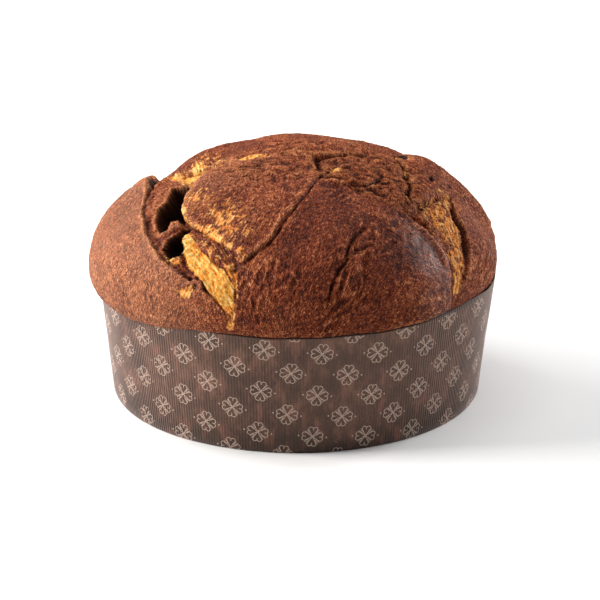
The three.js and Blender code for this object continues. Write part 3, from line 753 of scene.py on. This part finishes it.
def bread_points():
    """Points of the bread's skin, the finish values of each, and their places on the flat map."""
    ring, azimuth = sheet_rings()
    share = np.minimum(ring / DOME_RINGS, 1)
    reach = (share + RING_CROWD * np.sin(TAU * share)) * WIDEST_REACH
    tuck = np.clip((ring - DOME_RINGS) / TUCK_RINGS, 0, 1)
    beyond = reach + TUCK_REACH * tuck
    x, y = beyond * np.cos(azimuth), beyond * np.sin(azimuth)
    made = relief(x, y)
    made["hollow"] = hollows(made["height"])
    points = on_dome(x + made["push_x"], y + made["push_y"], made["height"])

    # The tuck: a quarter of an oval from the widest ring in to the rim. Where the bread spills over
    # it ends under the rim, outside the paper; elsewhere it ends just over the rim, with a thin gap.
    rim = rim_height(azimuth)
    share = spill(azimuth)
    widest_r = WIDEST_RADIUS + SPILL_OUT * share
    widest_z = CASE_HEIGHT + WIDEST_ABOVE_RIM - SPILL_DOWN / 2 * share
    inwards = opening(azimuth)
    low_z = rim + (RIM_GAP - DRAW_DOWN * inwards) * (1 - share) - (SPILL_UNDER + SPILL_DOWN) * share
    low_z = low_z + 0.2 * lumps(80 * azimuth, rim, 4, 99)
    low_r = wall_radius(np.minimum(low_z, rim)) + GAP - DRAW_IN * inwards
    angle = tuck * np.pi / 2
    creased = 0.3 * made["wrinkle"] * smooth(1, 0.6, tuck) * smooth(0, 0.2, tuck)
    height = made["height"] * (1 - tuck) + creased
    r = low_r + (widest_r - low_r) * np.cos(angle) + height * np.cos(angle)
    z = widest_z - (widest_z - low_z) * np.sin(angle) - height * np.sin(angle)

    # The slot over the rim, then down inside the case to its floor.
    slot = ring - DOME_RINGS - TUCK_RINGS
    rim_r = wall_radius(CASE_HEIGHT)
    floor_z = PAPER + FLOOR_GAP
    over_rim = rim + GAP
    body_z = over_rim - (over_rim - floor_z) * np.clip((slot - SLOT_RINGS) / BODY_RINGS, 0, 1)
    beside = wall_radius(body_z)
    body_r = np.minimum(beside - (PAPER + BODY_GAP), np.maximum(low_r, beside - NARROWER))
    outer = np.minimum(rim_r + GAP, low_r)
    over = np.minimum(over_rim, np.maximum(low_z, over_rim - OPEN_DEPTH * inwards))
    body_z = np.where(slot == SLOT_RINGS, over - 0.3 * inwards, body_z)
    where = [slot >= SLOT_RINGS, slot == 2, slot == 1]
    r = np.select(where, [body_r, outer, (low_r + outer) / 2], r)
    z = np.select(where, [body_z, over, (low_z + over) / 2], z)
    under = ring > DOME_RINGS
    points[under] = np.stack([r * np.cos(azimuth), r * np.sin(azimuth), z], -1)[under]
    shadow = (1 - share) * (1 - 0.9 * inwards) * smooth(0.86, 1.0, tuck)
    made["deep"] = np.maximum(made["deep"], shadow)
    return np.concatenate([points, [[0, 0, floor_z]]]), made, x, y


points, made, flat_x, flat_y = bread_points()
print("bread from %s to %s mm" % (points.min(0).round(1), points.max(0).round(1)))

# %% [markdown]
# ## From points to pieces
# A finished piece sits at the origin with its place in its mesh. What a finish needs is stored
# with it: numbers in each vertex, and a map of the surface. The bread's map is turned at each
# place so that u runs along the pull of the skin, and streaks then follow the lobes.

# %% Bread piece
STORED = ("gold", "deep", "rough", "wrinkle", "hollow", "pale", "sheen")


def new_object(name, points, faces):
    """A mesh object from points in mm and lists of the corners of each face."""
    mesh = bpy.data.meshes.new(name)
    mesh.from_pydata((points * MM).tolist(), [], faces)
    mesh.update()
    made = bpy.data.objects.new(name, mesh)
    bpy.context.scene.collection.objects.link(made)
    return made


def add_piece(name, points, faces, replaced):
    """A new smooth piece that rides on the loaf and replaces solids of the frame."""
    piece = new_object(name, points, faces)
    mesh = piece.data
    mesh.polygons.foreach_set("use_smooth", np.full(len(mesh.polygons), True))
    mesh.update()
    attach(piece, "root")
    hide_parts(*replaced)
    print("%s: %d triangles" % (name, sum(len(p.vertices) - 2 for p in mesh.polygons)))
    return piece


def add_values(piece, **values):
    """Stores one number for each vertex under a name that a material can read."""
    count = len(piece.data.vertices)
    for name, numbers in values.items():
        numbers = np.concatenate([numbers, np.zeros(count - len(numbers))])
        layer = piece.data.attributes.new(name, "FLOAT", "POINT")
        layer.data.foreach_set("value", numbers.astype(np.float32))


def corner_vertices(piece):
    """The vertex at each corner of each face."""
    corners = np.empty(len(piece.data.loops), int)
    piece.data.loops.foreach_get("vertex_index", corners)
    return corners


def add_map(piece, name, u, v):
    """A UV map from one u and one v for each corner of each face."""
    layer = piece.data.uv_layers.new(name=name)
    layer.data.foreach_set("uv", np.stack([u, v], 1).astype(np.float32).ravel())


def add_pull_map(piece, x, y, pull):
    """The flat crust in metres, turned by the pull of the skin. The point in the middle of the
    underside, which comes last, gets 0."""
    a = np.radians(pull)
    along, side = x * np.cos(a) + y * np.sin(a), y * np.cos(a) - x * np.sin(a)
    corners = corner_vertices(piece)
    add_map(piece, "pull", np.append(along * MM, 0)[corners], np.append(side * MM, 0)[corners])


bread = add_piece("loaf", points, sheet_faces().tolist(), ["bread"])
add_values(bread, **{name: made[name] for name in STORED})
add_pull_map(bread, flat_x, flat_y, made["pull"])

# %% [markdown]
# ## The paper case
# The wall of a baking case is fluted paper: some four hundred small upright pleats that let it
# flare. A bump map could hint at them, but real flutes also catch the light at the case's edge as
# fine upright lines. The wall is a closed shell, one profile carried round the middle: outside
# up, over the rim, inside down, and across the base.

# %% Paper case
FLUTES, STEPS_PER_FLUTE, FLUTE_DEPTH = 396, 6, 0.3
COLUMNS = FLUTES * STEPS_PER_FLUTE
WALL = 0.4
FOOT_ROUND, FOOT_RISE = 0.7, 1.4  # the foot of the wall is rounded in
STAND_OFF = 1.2
FLOOR_RING = 60.0
# Height and share of the flute wave, for each row of the outside and of the inside. Heights from
# 0 down are counted from the rim.
OUTSIDE = [(0.0, 0.0), (0.4, 0.35), (1.2, 0.9), (6, 1), (18, 1), (30, 1), (42, 1), (54, 1), (62, 1)]
RIM_EDGE = [0.4, 0.0]
INSIDE = [(0.0, 1), (-0.4, 1), (62, 1), (54, 1), (30, 1), (6, 1), (0.8, 0.3)]
V_PER_MM = 0.01


def case_points():
    """Rows of a closed profile carried round: each row has a radius, less its share of a wave
    that runs once over each flute, and a height."""
    azimuth = np.arange(COLUMNS) / COLUMNS * TAU
    wave = 0.5 - 0.5 * np.cos(FLUTES * azimuth)
    pleat = wave * (0.8 + 0.2 * np.sin(7 * azimuth))
    rim = rim_height(azimuth)
    rows = []
    for z, share in OUTSIDE:
        tuck_in = FOOT_ROUND * (1 - smooth(0, FOOT_RISE, z))
        rows.append((wall_radius(z) - tuck_in - FLUTE_DEPTH * share * pleat, np.full(COLUMNS, z)))
    for down in RIM_EDGE:
        rows.append((wall_radius(rim - down) - FLUTE_DEPTH * pleat, rim - down))
    for z, share in INSIDE:
        level = rim + z if z <= 0 else np.full(COLUMNS, z)
        rows.append((wall_radius(level) - WALL - FLUTE_DEPTH * share * pleat, level))
    rows.append((np.full(COLUMNS, FLOOR_RING), np.full(COLUMNS, PAPER)))
    r, z = np.array([row[0] for row in rows]), np.array([row[1] for row in rows])
    r += STAND_OFF * opening(azimuth) * smooth(20, CASE_HEIGHT, z)
    return np.stack([r * np.cos(azimuth), r * np.sin(azimuth), z], -1)


def tube_faces(rows):
    """Quads between neighbouring rows, closed round the middle."""
    start, column = np.arange(rows - 1)[:, None] * COLUMNS, np.arange(COLUMNS)[None, :]
    a, right = (start + column).ravel(), (start + (column + 1) % COLUMNS).ravel()
    return np.stack([a, right, right + COLUMNS, a + COLUMNS], 1).tolist()


def fan(centre, ring, flip):
    """Triangles from one centre to a closed ring."""
    b, c = ring, np.roll(ring, -1)
    return np.stack([np.full(len(ring), centre), *((c, b) if flip else (b, c))], 1).tolist()


def add_wrap_map(piece, points):
    """The wall unrolled: u is the turn round the case, v the height. The last column of faces
    closes the circle, so its far corners are set at one full turn."""
    corners = corner_vertices(piece)
    on_wall = corners < len(points) - 2
    turn = np.where(on_wall, corners % COLUMNS, 0) / COLUMNS
    start, size = (np.empty(len(piece.data.polygons), int) for _ in range(2))
    piece.data.polygons.foreach_get("loop_start", start)
    piece.data.polygons.foreach_get("loop_total", size)
    furthest = np.repeat(np.maximum.reduceat(turn, start), size)
    turn = np.where((furthest > 0.9) & (turn < 0.1), turn + 1, turn)
    add_map(piece, "wrap", turn, np.where(on_wall, points[corners, 2], 0) * V_PER_MM)


grid = case_points()
rows, last = len(grid), len(grid) * COLUMNS
first_ring, last_ring = np.arange(COLUMNS), np.arange(last - COLUMNS, last)
points = np.concatenate([grid.reshape(-1, 3), [[0, 0, 0], [0, 0, PAPER]]])
faces = tube_faces(rows) + fan(last, first_ring, True) + fan(last + 1, last_ring, False)
case = add_piece("baking_case", points, faces, ["paper_case"])
add_wrap_map(case, points)
outer_rows = len(OUTSIDE) + len(RIM_EDGE)
add_values(case, inside=(np.arange(len(points)) // COLUMNS > outer_rows).astype(float))

# %% [markdown]
# ## Finishes
# A finish is a small graph of nodes. Drawn node by node it is hard to read, so a helper turns sums
# and products of sockets into maths nodes, and a pattern can be written like a formula.

# %% Node helpers


class Finish:
    """A new material and short ways to add its nodes."""

    def __init__(self, name):
        self.material = bpy.data.materials.new(name)
        self.material.use_nodes = True
        self.tree = self.material.node_tree
        self.shader = self.tree.nodes["Principled BSDF"]

    def node(self, kind, inputs=(), **settings):
        made = self.tree.nodes.new("ShaderNode" + kind)
        for key, value in settings.items():
            setattr(made, key, value)
        for key, value in dict(inputs).items():
            self.put(made.inputs[key], value)
        return made

    def put(self, socket, value):
        if isinstance(value, Wire):
            value = value.socket
        if isinstance(value, bpy.types.NodeSocket):
            self.tree.links.new(value, socket)
        else:
            socket.default_value = value

    def set(self, **values):
        """Sets inputs of the shader by name, with _ for a space, to a wire or a constant."""
        for name, value in values.items():
            self.put(self.shader.inputs[name.replace("_", " ")], value)

    def wire(self, node, output):
        return Wire(self, node.outputs[output])

    def value(self, name):
        """The number stored in each vertex under a name."""
        return self.wire(self.node("Attribute", attribute_name=name), "Fac")

    def place(self):
        return self.wire(self.node("TexCoord"), "Object")

    def map(self, name):
        return self.wire(self.node("UVMap", uv_map=name), "UV")

    def stretched(self, vector, *scale):
        """A vector scaled unevenly, so that noise on it is drawn out along the smaller scale."""
        return self.wire(self.node("Mapping", {"Vector": vector, "Scale": scale}), "Vector")

    def shift(self, vector, noise_scale, amount):
        """A vector moved about by coloured noise, so that a regular pattern looks grown."""
        noise = self.node("TexNoise", dict(Vector=vector, Scale=noise_scale, Detail=2.0))
        centred = {0: noise.outputs["Color"], 1: (0.5, 0.5, 0.5)}
        spread = self.node("VectorMath", centred, operation="SUBTRACT").outputs["Vector"]
        scaled = self.node("VectorMath", {0: spread, "Scale": amount}, operation="SCALE")
        return self.wire(self.node("VectorMath", {0: vector, 1: scaled.outputs["Vector"]}), "Vector")

    def math(self, operation, *values):
        made = self.node("Math", operation=operation)
        for k, value in enumerate(values):
            self.put(made.inputs[k], value)
        return self.wire(made, "Value")

    def size(self, x):
        return self.math("ABSOLUTE", x)

    def length(self, a, b):
        return self.math("SQRT", a * a + b * b)

    def most(self, a, b):
        return self.math("MAXIMUM", a, b)

    def least(self, lowest, *others):
        for other in others:
            lowest = self.math("MINIMUM", lowest, other)
        return lowest

    def noise(self, vector, scale, detail=4.0, rough=0.55, distortion=0.0):
        made = self.node("TexNoise", dict(Vector=vector, Scale=scale, Detail=detail, Roughness=rough,
                                          Distortion=distortion))
        return self.wire(made, "Fac")

    def grains(self, vector, scale):
        """Rounded grains: 0 in the middle of each, about 0.6 in the seams between them."""
        made = self.node("TexVoronoi", dict(Vector=vector, Scale=scale))
        return self.wire(made, "Distance")

    def step(self, x, low, high):
        """0 at low, 1 at high, and an S-shaped ease between them."""
        made = self.node("MapRange", {"Value": x, "From Min": low, "From Max": high},
                         interpolation_type="SMOOTHSTEP")
        return self.wire(made, "Result")

    def mix(self, share, a, b):
        """Colour a where share is 0 and colour b where it is 1."""
        made = self.node("Mix", data_type="RGBA")
        self.put(made.inputs["Factor"], share)
        self.put(made.inputs[6], a)
        self.put(made.inputs[7], b)
        return self.wire(made, 2)

    def between(self, share, a, b):
        """Number a where share is 0 and number b where it is 1."""
        return a + (b - a) * share

    def ramp(self, x, *stops):
        """A colour ramp: each stop is a place from 0 to 1 and a screen colour."""
        made = self.node("ValToRGB")
        points = made.color_ramp.elements
        while len(points) < len(stops):
            points.new(0.5)
        for point, (place, *colour) in zip(points, stops):
            point.position = place
            point.color = rgb(*colour)
        self.put(made.inputs["Fac"], x)
        return self.wire(made, "Color")

    def bump(self, height, distance, strength):
        made = self.node("Bump", dict(Height=height, Distance=distance, Strength=strength))
        return self.wire(made, "Normal")


class Wire:
    """An output socket that can be added and multiplied."""

    def __init__(self, finish, socket):
        self.finish, self.socket = finish, socket

    def __add__(self, other): return self.finish.math("ADD", self, other)
    def __radd__(self, other): return self.finish.math("ADD", other, self)
    def __sub__(self, other): return self.finish.math("SUBTRACT", self, other)
    def __rsub__(self, other): return self.finish.math("SUBTRACT", other, self)
    def __mul__(self, other): return self.finish.math("MULTIPLY", self, other)
    def __rmul__(self, other): return self.finish.math("MULTIPLY", other, self)
    def __truediv__(self, other): return self.finish.math("DIVIDE", self, other)


def rgb(red, green, blue):
    """A colour given as on a screen, 0 to 255, in the linear values that nodes expect."""
    def linear(c):
        c /= 255
        return c / 12.92 if c <= 0.04045 else ((c + 0.055) / 1.055) ** 2.4
    return (linear(red), linear(green), linear(blue), 1.0)


print("the screen's middle grey in linear light: %.3f" % rgb(128, 128, 128)[0])

# %% [markdown]
# ## Crust and crumb
# The crust is cocoa brown and matt. Sugar and flour in the skin leave fine light specks, and the
# pulled skin shows streaks. The torn crumb is golden, fibrous, and browner on its crests. Two
# materials would need a hard border between them. Skin and crumb are one surface here, so one
# material mixes both by the values that the relief stored in each vertex.

# %% Crust


def skin_patterns(f, place, pulled):
    """Noise about 0 and masks from 0 to 1, each named after what it draws on the skin."""
    fold = f.size(f.noise(f.stretched(pulled, 95, 330, 1), 1.0, 3, 0.6, 0.4) - 0.5)
    return SimpleNamespace(
        broad=f.noise(place, 55, 3) - 0.5,
        patches=f.noise(place, 300, 3, 0.6) - 0.5,
        specks=f.noise(place, 1150, 2, 0.7) - 0.5,
        fine=f.noise(place, 2500, 1, 0.6) - 0.5,
        dashes=f.noise(f.stretched(pulled, 520, 2000, 1), 1.0, 1, 0.6) - 0.5,
        grains=f.grains(f.shift(place, 700, 0.0012), 900) - 0.4,
        creases=f.step(fold, 0.030, 0.004) * f.step(f.noise(place, 75, 2), 0.42, 0.56),
        slits=f.step(f.noise(f.stretched(pulled, 300, 900, 1), 1.0, 2, 0.6), 0.38, 0.30),
        pores=f.step(f.grains(place, 360), 0.20, 0.10) * f.step(f.noise(place, 130, 2), 0.50, 0.58),
        flecks=f.step(f.noise(place, 1000, 2, 0.7), 0.58, 0.68),
    )


def crust_colour(f, place, skin, stored):
    """The brown of the skin, and the height of the chips on its broken parts. The shade is a sum of
    the patterns, with a painted highlight on wrinkles and crests, painted shade in hollows, and paler
    where dust and painted light lie, and a ramp turns it into a colour."""
    # The pale value above 0: dust, painted light on the left lobe and the painted highlight of the seams.
    dust_and_light = f.most(stored.pale, 0.0)
    shade = (0.5 + (0.4 + 0.9 * dust_and_light) * skin.specks + 1.2 * skin.fine
             + (1.5 + 0.6 * dust_and_light) * skin.dashes + 0.45 * skin.patches + 0.6 * skin.broad
             - 0.22 * skin.grains + 0.20 * stored.wrinkle
             - (0.28 + 0.15 * stored.rough) * stored.hollow + 0.15 * stored.pale - 0.07 * dust_and_light)
    brown = f.ramp(shade, (0.02, 36, 10, 4), (0.32, 94, 34, 16), (0.52, 138, 58, 30),
                   (0.76, 190, 100, 58), (1.0, 240, 164, 108))
    # Light specks of sugar, more where the skin is pale, and a pinkish colour that is partly dust and partly
    # a painted sheen.
    brown = f.mix(skin.flecks * (0.06 + 0.65 * dust_and_light), brown, rgb(230, 150, 92))
    brown = f.mix(f.step(stored.pale, 0.3, 1.0) * 0.15, brown, rgb(228, 172, 134))
    # Slits, pores and creases are darkened as painted shade.
    brown = f.mix(skin.slits * (0.55 - 0.12 * dust_and_light), brown, rgb(52, 20, 11))
    brown = f.mix(skin.pores * 0.6, brown, rgb(44, 15, 8))
    brown = f.mix(skin.creases * 0.5, brown, rgb(50, 19, 10))

    # Where the crust is broken up, small flat chips overlap, with painted shade at the foot of each.
    layers = 6.0 * f.noise(f.stretched(place, 1, 1.6, 1.6), 210, 3, 0.62)
    part = f.math("FRACT", layers)
    foot = f.step(part, 0.36, 0.62) * f.step(part, 0.96, 0.74)
    chip = f.math("FLOOR", layers) + f.step(part, 0.75, 1.0)
    craggy = f.ramp(shade + 0.3 * (part - 0.5), (0.06, 44, 14, 6), (0.32, 106, 42, 21),
                    (0.54, 156, 72, 38), (0.86, 214, 132, 78))
    brown = f.mix(stored.rough * 0.8, brown, craggy)
    return f.mix(stored.rough * foot * 0.4, brown, rgb(44, 16, 8)), chip


# %% Crumb and the whole bread


def crumb(f, place, pulled, skin, stored):
    """The yellow of the crumb, how much of it shows, how much caramel lies on it, and its height.
    Strands run along the pull, and crumb that is less golden is toasted."""
    strands = (0.7 * f.noise(f.stretched(pulled, 120, 760, 1), 1.0, 4, 0.65, 0.5)
               + 0.3 * f.noise(place, 330, 4, 0.65, 0.8))
    grainy = f.noise(place, 950, 3, 0.7)
    # The crumb is darker in its hollows as painted shade, and lighter on crests as a painted highlight.
    tone = 0.53 + 2.6 * (strands - 0.5) + 1.1 * (grainy - 0.5) - 0.2 * stored.hollow - 0.2 * skin.grains
    yellow = f.ramp(tone, (0.04, 184, 80, 22), (0.28, 248, 136, 46), (0.50, 255, 183, 78),
                    (0.84, 255, 226, 150))
    toasted = f.ramp(tone, (0.06, 104, 40, 16), (0.32, 194, 90, 40), (0.56, 246, 148, 74),
                     (0.90, 255, 210, 138))
    yellow = f.mix(f.step(stored.gold, 1.05, 0.55) * 0.8, yellow, toasted)
    mixing = ((2.2 * (f.noise(place, 260, 3, 0.6) - 0.5) + 2.6 * (strands - 0.5)
               + 1.4 * (grainy - 0.5)) * f.step(stored.gold, 0.0, 0.3))
    shows = f.step(stored.gold + mixing, 0.38, 0.62)
    thin = f.step(stored.gold + 0.5 * mixing, 1.0, 0.6)
    caramel = shows * (1.0 - shows) * 4.0 + 0.5 * thin * shows
    return yellow, shows, caramel, strands * 2.4 + grainy * 1.2


def bread_finish():
    """Skin and crumb, mixed by how golden each place is, and painted shade in cracks over both."""
    f = Finish("crust and crumb")
    place, pulled = f.place(), f.map("pull")
    stored = SimpleNamespace(**{name: f.value(name) for name in STORED})
    skin = skin_patterns(f, place, pulled)
    brown, chip = crust_colour(f, place, skin, stored)
    yellow, shows, caramel, crumb_height = crumb(f, place, pulled, skin, stored)
    colour = f.mix(shows, brown, yellow)
    colour = f.mix(caramel * 0.55, colour, rgb(212, 114, 46))
    # Painted shade: cracks, caves, pits and the tuck are darkened nearly black.
    colour = f.mix(f.step(stored.deep, 0.1, 0.9) * 0.92, colour, rgb(26, 9, 4))
    skin_height = (0.9 * skin.specks + 0.8 * skin.fine + 1.0 * skin.dashes - 0.7 * skin.grains
                   + 0.5 * skin.patches - 0.35 * skin.slits - 0.5 * skin.creases
                   + 0.22 * stored.rough * chip)
    f.set(Base_Color=colour,
          Roughness=0.62 + 0.5 * skin.specks + 0.2 * shows + 0.15 * stored.rough,
          Specular_IOR_Level=0.1,
          Coat_Weight=(stored.sheen * 0.5 + 0.05) * (1.0 - shows),
          Coat_Roughness=0.5,
          Normal=f.bump(f.between(shows, skin_height, crumb_height), 0.0013, 1.0))
    return f.material


bread.data.materials.append(bread_finish())
print("nodes of the bread's finish:", len(bread.data.materials[0].node_tree.nodes))

# %% [markdown]
# ## The print
# The print on the paper is a loose net of small rosettes in beige line, a common ornament of four
# hearts with their tips together. It could be many small pieces of mesh, but as a formula it
# follows the flutes: the wall's own map is cut into slanting cells, and within a cell each line is
# the place where a distance is small. Eight-fold symmetry leaves one half heart to draw.

# %% Print
# Going once round the wall passes 24 steps along the rows of rosettes and drops 4 rows.
AROUND, DROP = 24, -4
ALONG_RISE, ROW_STEP = 25.6, 11.82
STEP_X, STEP_Y = 28.79, -2.13
ROW_X, ROW_Y = 13.29, -12.81
NET_STEP, NET_ROW = 0.3016, -0.1331  # where the net begins
ROSETTE_TURN = math.radians(-6.5)
ROSETTE_SIZE = 0.93
# Half a heart: a disc at its lobe, and a straight flank from the tip to the disc.
LOBE_ALONG, LOBE_OFF, LOBE_RADIUS = 4.55, 1.27, 1.32
FLANK_SLOPE, FLANK_SCALE = 0.61, 0.854
BODY_LOW, BODY_HIGH = 3.9, 4.75
NOTCH_MIDDLE, NOTCH_HALF = 4.5, 0.45
STROKE_LEAN, STROKE_MIDDLE, STROKE_HALF = 0.12, 4.0, 1.3
DOT_OUT, DOT_RADIUS = 7.9, 0.25
LINE_EDGE, LINE_FULL = 0.33, 0.09


def from_rosette(f, turn, height):
    """Place in mm from the middle of the nearest rosette: the place along the slanting rows and
    the row number, less whole steps, for the row below and the row above."""
    lean = ROW_X / STEP_X
    step = turn * float(AROUND) + height / ALONG_RISE + NET_STEP
    row = turn * float(DROP) - height / ROW_STEP + NET_ROW
    lower = f.math("FLOOR", row)
    places = []
    for k in (0.0, 1.0):
        down = row - (lower + k)
        off = step + down * lean
        off = off - f.math("ROUND", off)
        places.append((off * STEP_X, (off - down * lean) * STEP_Y + down * ROW_Y))
    (x, y), (next_x, next_y) = places
    closer = f.math("LESS_THAN", f.length(next_x, next_y), f.length(x, y))
    return f.between(closer, x, next_x), f.between(closer, y, next_y)


def rosette(f, x, y):
    """1 on the lines of a rosette and 0 beside them: the smallest of the distances to the heart's
    outline, its notch, the strokes between two hearts, and the dots."""
    c, s = math.cos(ROSETTE_TURN) / ROSETTE_SIZE, math.sin(ROSETTE_TURN) / ROSETTE_SIZE
    side, rise = f.size(x * c + y * s), f.size(y * c - x * s)
    along, off = f.most(side, rise), f.least(side, rise)
    lobe = f.length(along - LOBE_ALONG, off - LOBE_OFF) - LOBE_RADIUS
    flank = (off - along * FLANK_SLOPE) * FLANK_SCALE
    body = f.least(along - BODY_LOW, f.most(along - BODY_HIGH, off - LOBE_OFF))
    heart = f.least(lobe, f.most(flank, body))
    notch = f.most(off, f.size(along - NOTCH_MIDDLE) - NOTCH_HALF)
    diagonal, across_it = (along + off) * math.sqrt(0.5), (along - off) * math.sqrt(0.5)
    stroke = f.most(f.size(across_it - STROKE_LEAN * diagonal),
                    f.size(diagonal - STROKE_MIDDLE) - STROKE_HALF)
    dots = f.length(side - DOT_OUT, rise) - DOT_RADIUS
    ink = f.least(f.size(heart), stroke + 0.04, dots, notch)
    return f.step(ink, LINE_EDGE, LINE_FULL)


print("rosettes round the wall, in one row:", AROUND)

# %% [markdown]
# ## Printed paper
# The paper is dark brown-grey and slightly waxed, with reddish veins that run upright, as the
# fibres do. Along its rim it is darkened nearly black as a painted shadow under the bread's edge,
# and towards its foot as painted shade. Its inside is the plain brown of unprinted paper. The finish
# reads the unrolled map of the wall and the part's own coordinates, so nothing slides when the part
# is turned.

# %% Paper finish


def paper_finish():
    """The paper's tone is a sum of noises, darker towards the foot as painted shade, and over it lie
    veins, print and a painted shadow along the rim.
    """
    f = Finish("printed baking paper")
    place, wrap = f.place(), f.map("wrap")
    split = f.node("SeparateXYZ", {"Vector": wrap})
    turn, height = f.wire(split, "X"), f.wire(split, "Y") * (1 / V_PER_MM)
    printed = rosette(f, *from_rosette(f, turn, height))
    fibres = f.noise(f.stretched(wrap, 1500, 14, 1), 1.0, 4, 0.6)
    stains = f.noise(f.stretched(wrap, 110, 7, 1), 1.0, 4, 0.6)
    cloudy = f.noise(place, 60, 4, 0.6)
    grain = f.noise(place, 900, 4, 0.6)
    # Painted shade: the paper is darker towards its foot.
    foot = f.step(height, 22.0, 0.0)
    tone = (0.5 - 0.26 * foot + 0.7 * (fibres - 0.5) + 0.5 * (stains - 0.5)
            + 0.7 * (cloudy - 0.5) + 0.5 * (grain - 0.5))
    paper = f.ramp(tone, (0.22, 36, 21, 14), (0.50, 66, 42, 32), (0.78, 108, 75, 59))
    paper = f.mix(f.step(stains, 0.50, 0.68) * 0.5, paper, rgb(122, 76, 62))
    ink = f.mix(grain, rgb(168, 146, 132), rgb(206, 182, 164))
    paper = f.mix(printed * 0.8, paper, ink)
    plain = f.ramp(tone, (0.2, 112, 74, 52), (0.5, 150, 108, 80), (0.8, 180, 138, 106))
    paper = f.mix(f.value("inside"), paper, plain)
    # A painted shadow darkens the paper along its rim, where the bread's edge hangs over it.
    rim_shadow = f.step(height + 2.0 * (stains - 0.5), CASE_HEIGHT - 0.9, CASE_HEIGHT - 0.3)
    paper = f.mix(rim_shadow * 0.92, paper, rgb(30, 17, 12))
    f.set(Base_Color=paper, Roughness=0.42 + 0.3 * (grain - 0.5), Specular_IOR_Level=0.5,
          Specular_Tint=rgb(255, 224, 206), Sheen_Weight=0.5, Sheen_Roughness=0.4,
          Sheen_Tint=rgb(250, 226, 216), Normal=f.bump(fibres * 0.6 + grain * 0.4, 0.00012, 0.6))
    return f.material


case.data.materials.append(paper_finish())
print("nodes of the paper's finish:", len(case.data.materials[0].node_tree.nodes))

# %% [markdown]
# ## Floor and light
# A plain pale floor. One hard lamp would burn out the crust and leave the torn crumb black, so
# there are six soft ones: a warm key light from the left, a low one and one behind it that open
# the shadows there, two weaker ones at the right, and one overhead. A dim white surround fills in.

# %% Studio
FLOOR_HALF, FLOOR_THICK, FLOOR_BELOW = 6000.0, 4.0, 0.05
SURROUND = 0.13
# Azimuth and elevation in degrees, distance and size in metres, strength, and any tint.
LIGHTS = {
    "key": (-176, 29, 1.6, 0.6, 1.2, (1.0, 0.98, 0.95)),
    "left low": (178, 3, 1.7, 0.8, 0.46),
    "left behind": (145, 24, 1.7, 0.9, 0.8),
    "right behind": (34, 20, 1.6, 0.6, 0.6),
    "right": (2, 30, 1.8, 0.8, 0.32),
    "overhead": (90, 80, 2.0, 1.6, 0.38),
}


def make_floor():
    """A large thin slab under the case."""
    w = FLOOR_HALF
    square = ((-w, -w), (w, -w), (w, w), (-w, w))
    corners = np.array([[x, y, z] for z in (-FLOOR_THICK, -FLOOR_BELOW) for x, y in square])
    faces = [[3, 2, 1, 0], [4, 5, 6, 7], [0, 1, 5, 4], [1, 2, 6, 5], [2, 3, 7, 6], [3, 0, 4, 7]]
    floor = new_object("floor", corners, faces)
    f = Finish("pale floor")
    f.set(Base_Color=(0.92, 0.92, 0.92, 1), Roughness=0.8)
    floor.data.materials.append(f.material)


def add_light(name, azimuth, elevation, distance, size, strength, colour=(1, 1, 1)):
    """A square soft light that points at the loaf. The strength is that of a white sheet facing
    it: 1 is plain white. The power for this is strength times pi squared times distance squared."""
    data = bpy.data.lights.new(name, "AREA")
    data.shape, data.size, data.color = "SQUARE", size, colour
    data.energy = strength * math.pi**2 * distance**2
    light = bpy.data.objects.new(name, data)
    a, e = math.radians(azimuth), math.radians(elevation)
    out = Vector((math.cos(e) * math.cos(a), math.cos(e) * math.sin(a), math.sin(e)))
    light.location = out * distance + Vector((0, 0, 0.08))
    light.rotation_euler = out.to_track_quat("Z", "Y").to_euler()
    bpy.context.scene.collection.objects.link(light)


make_floor()
for name, values in LIGHTS.items():
    add_light(name, *values)
world = bpy.data.worlds.new("studio")
world.use_nodes = True
world.node_tree.nodes["Background"].inputs["Color"].default_value = (1, 1, 1, 1)
world.node_tree.nodes["Background"].inputs["Strength"].default_value = SURROUND
bpy.context.scene.world = world
bpy.context.scene.view_settings.view_transform = "Standard"
print("lights:", ", ".join(LIGHTS))
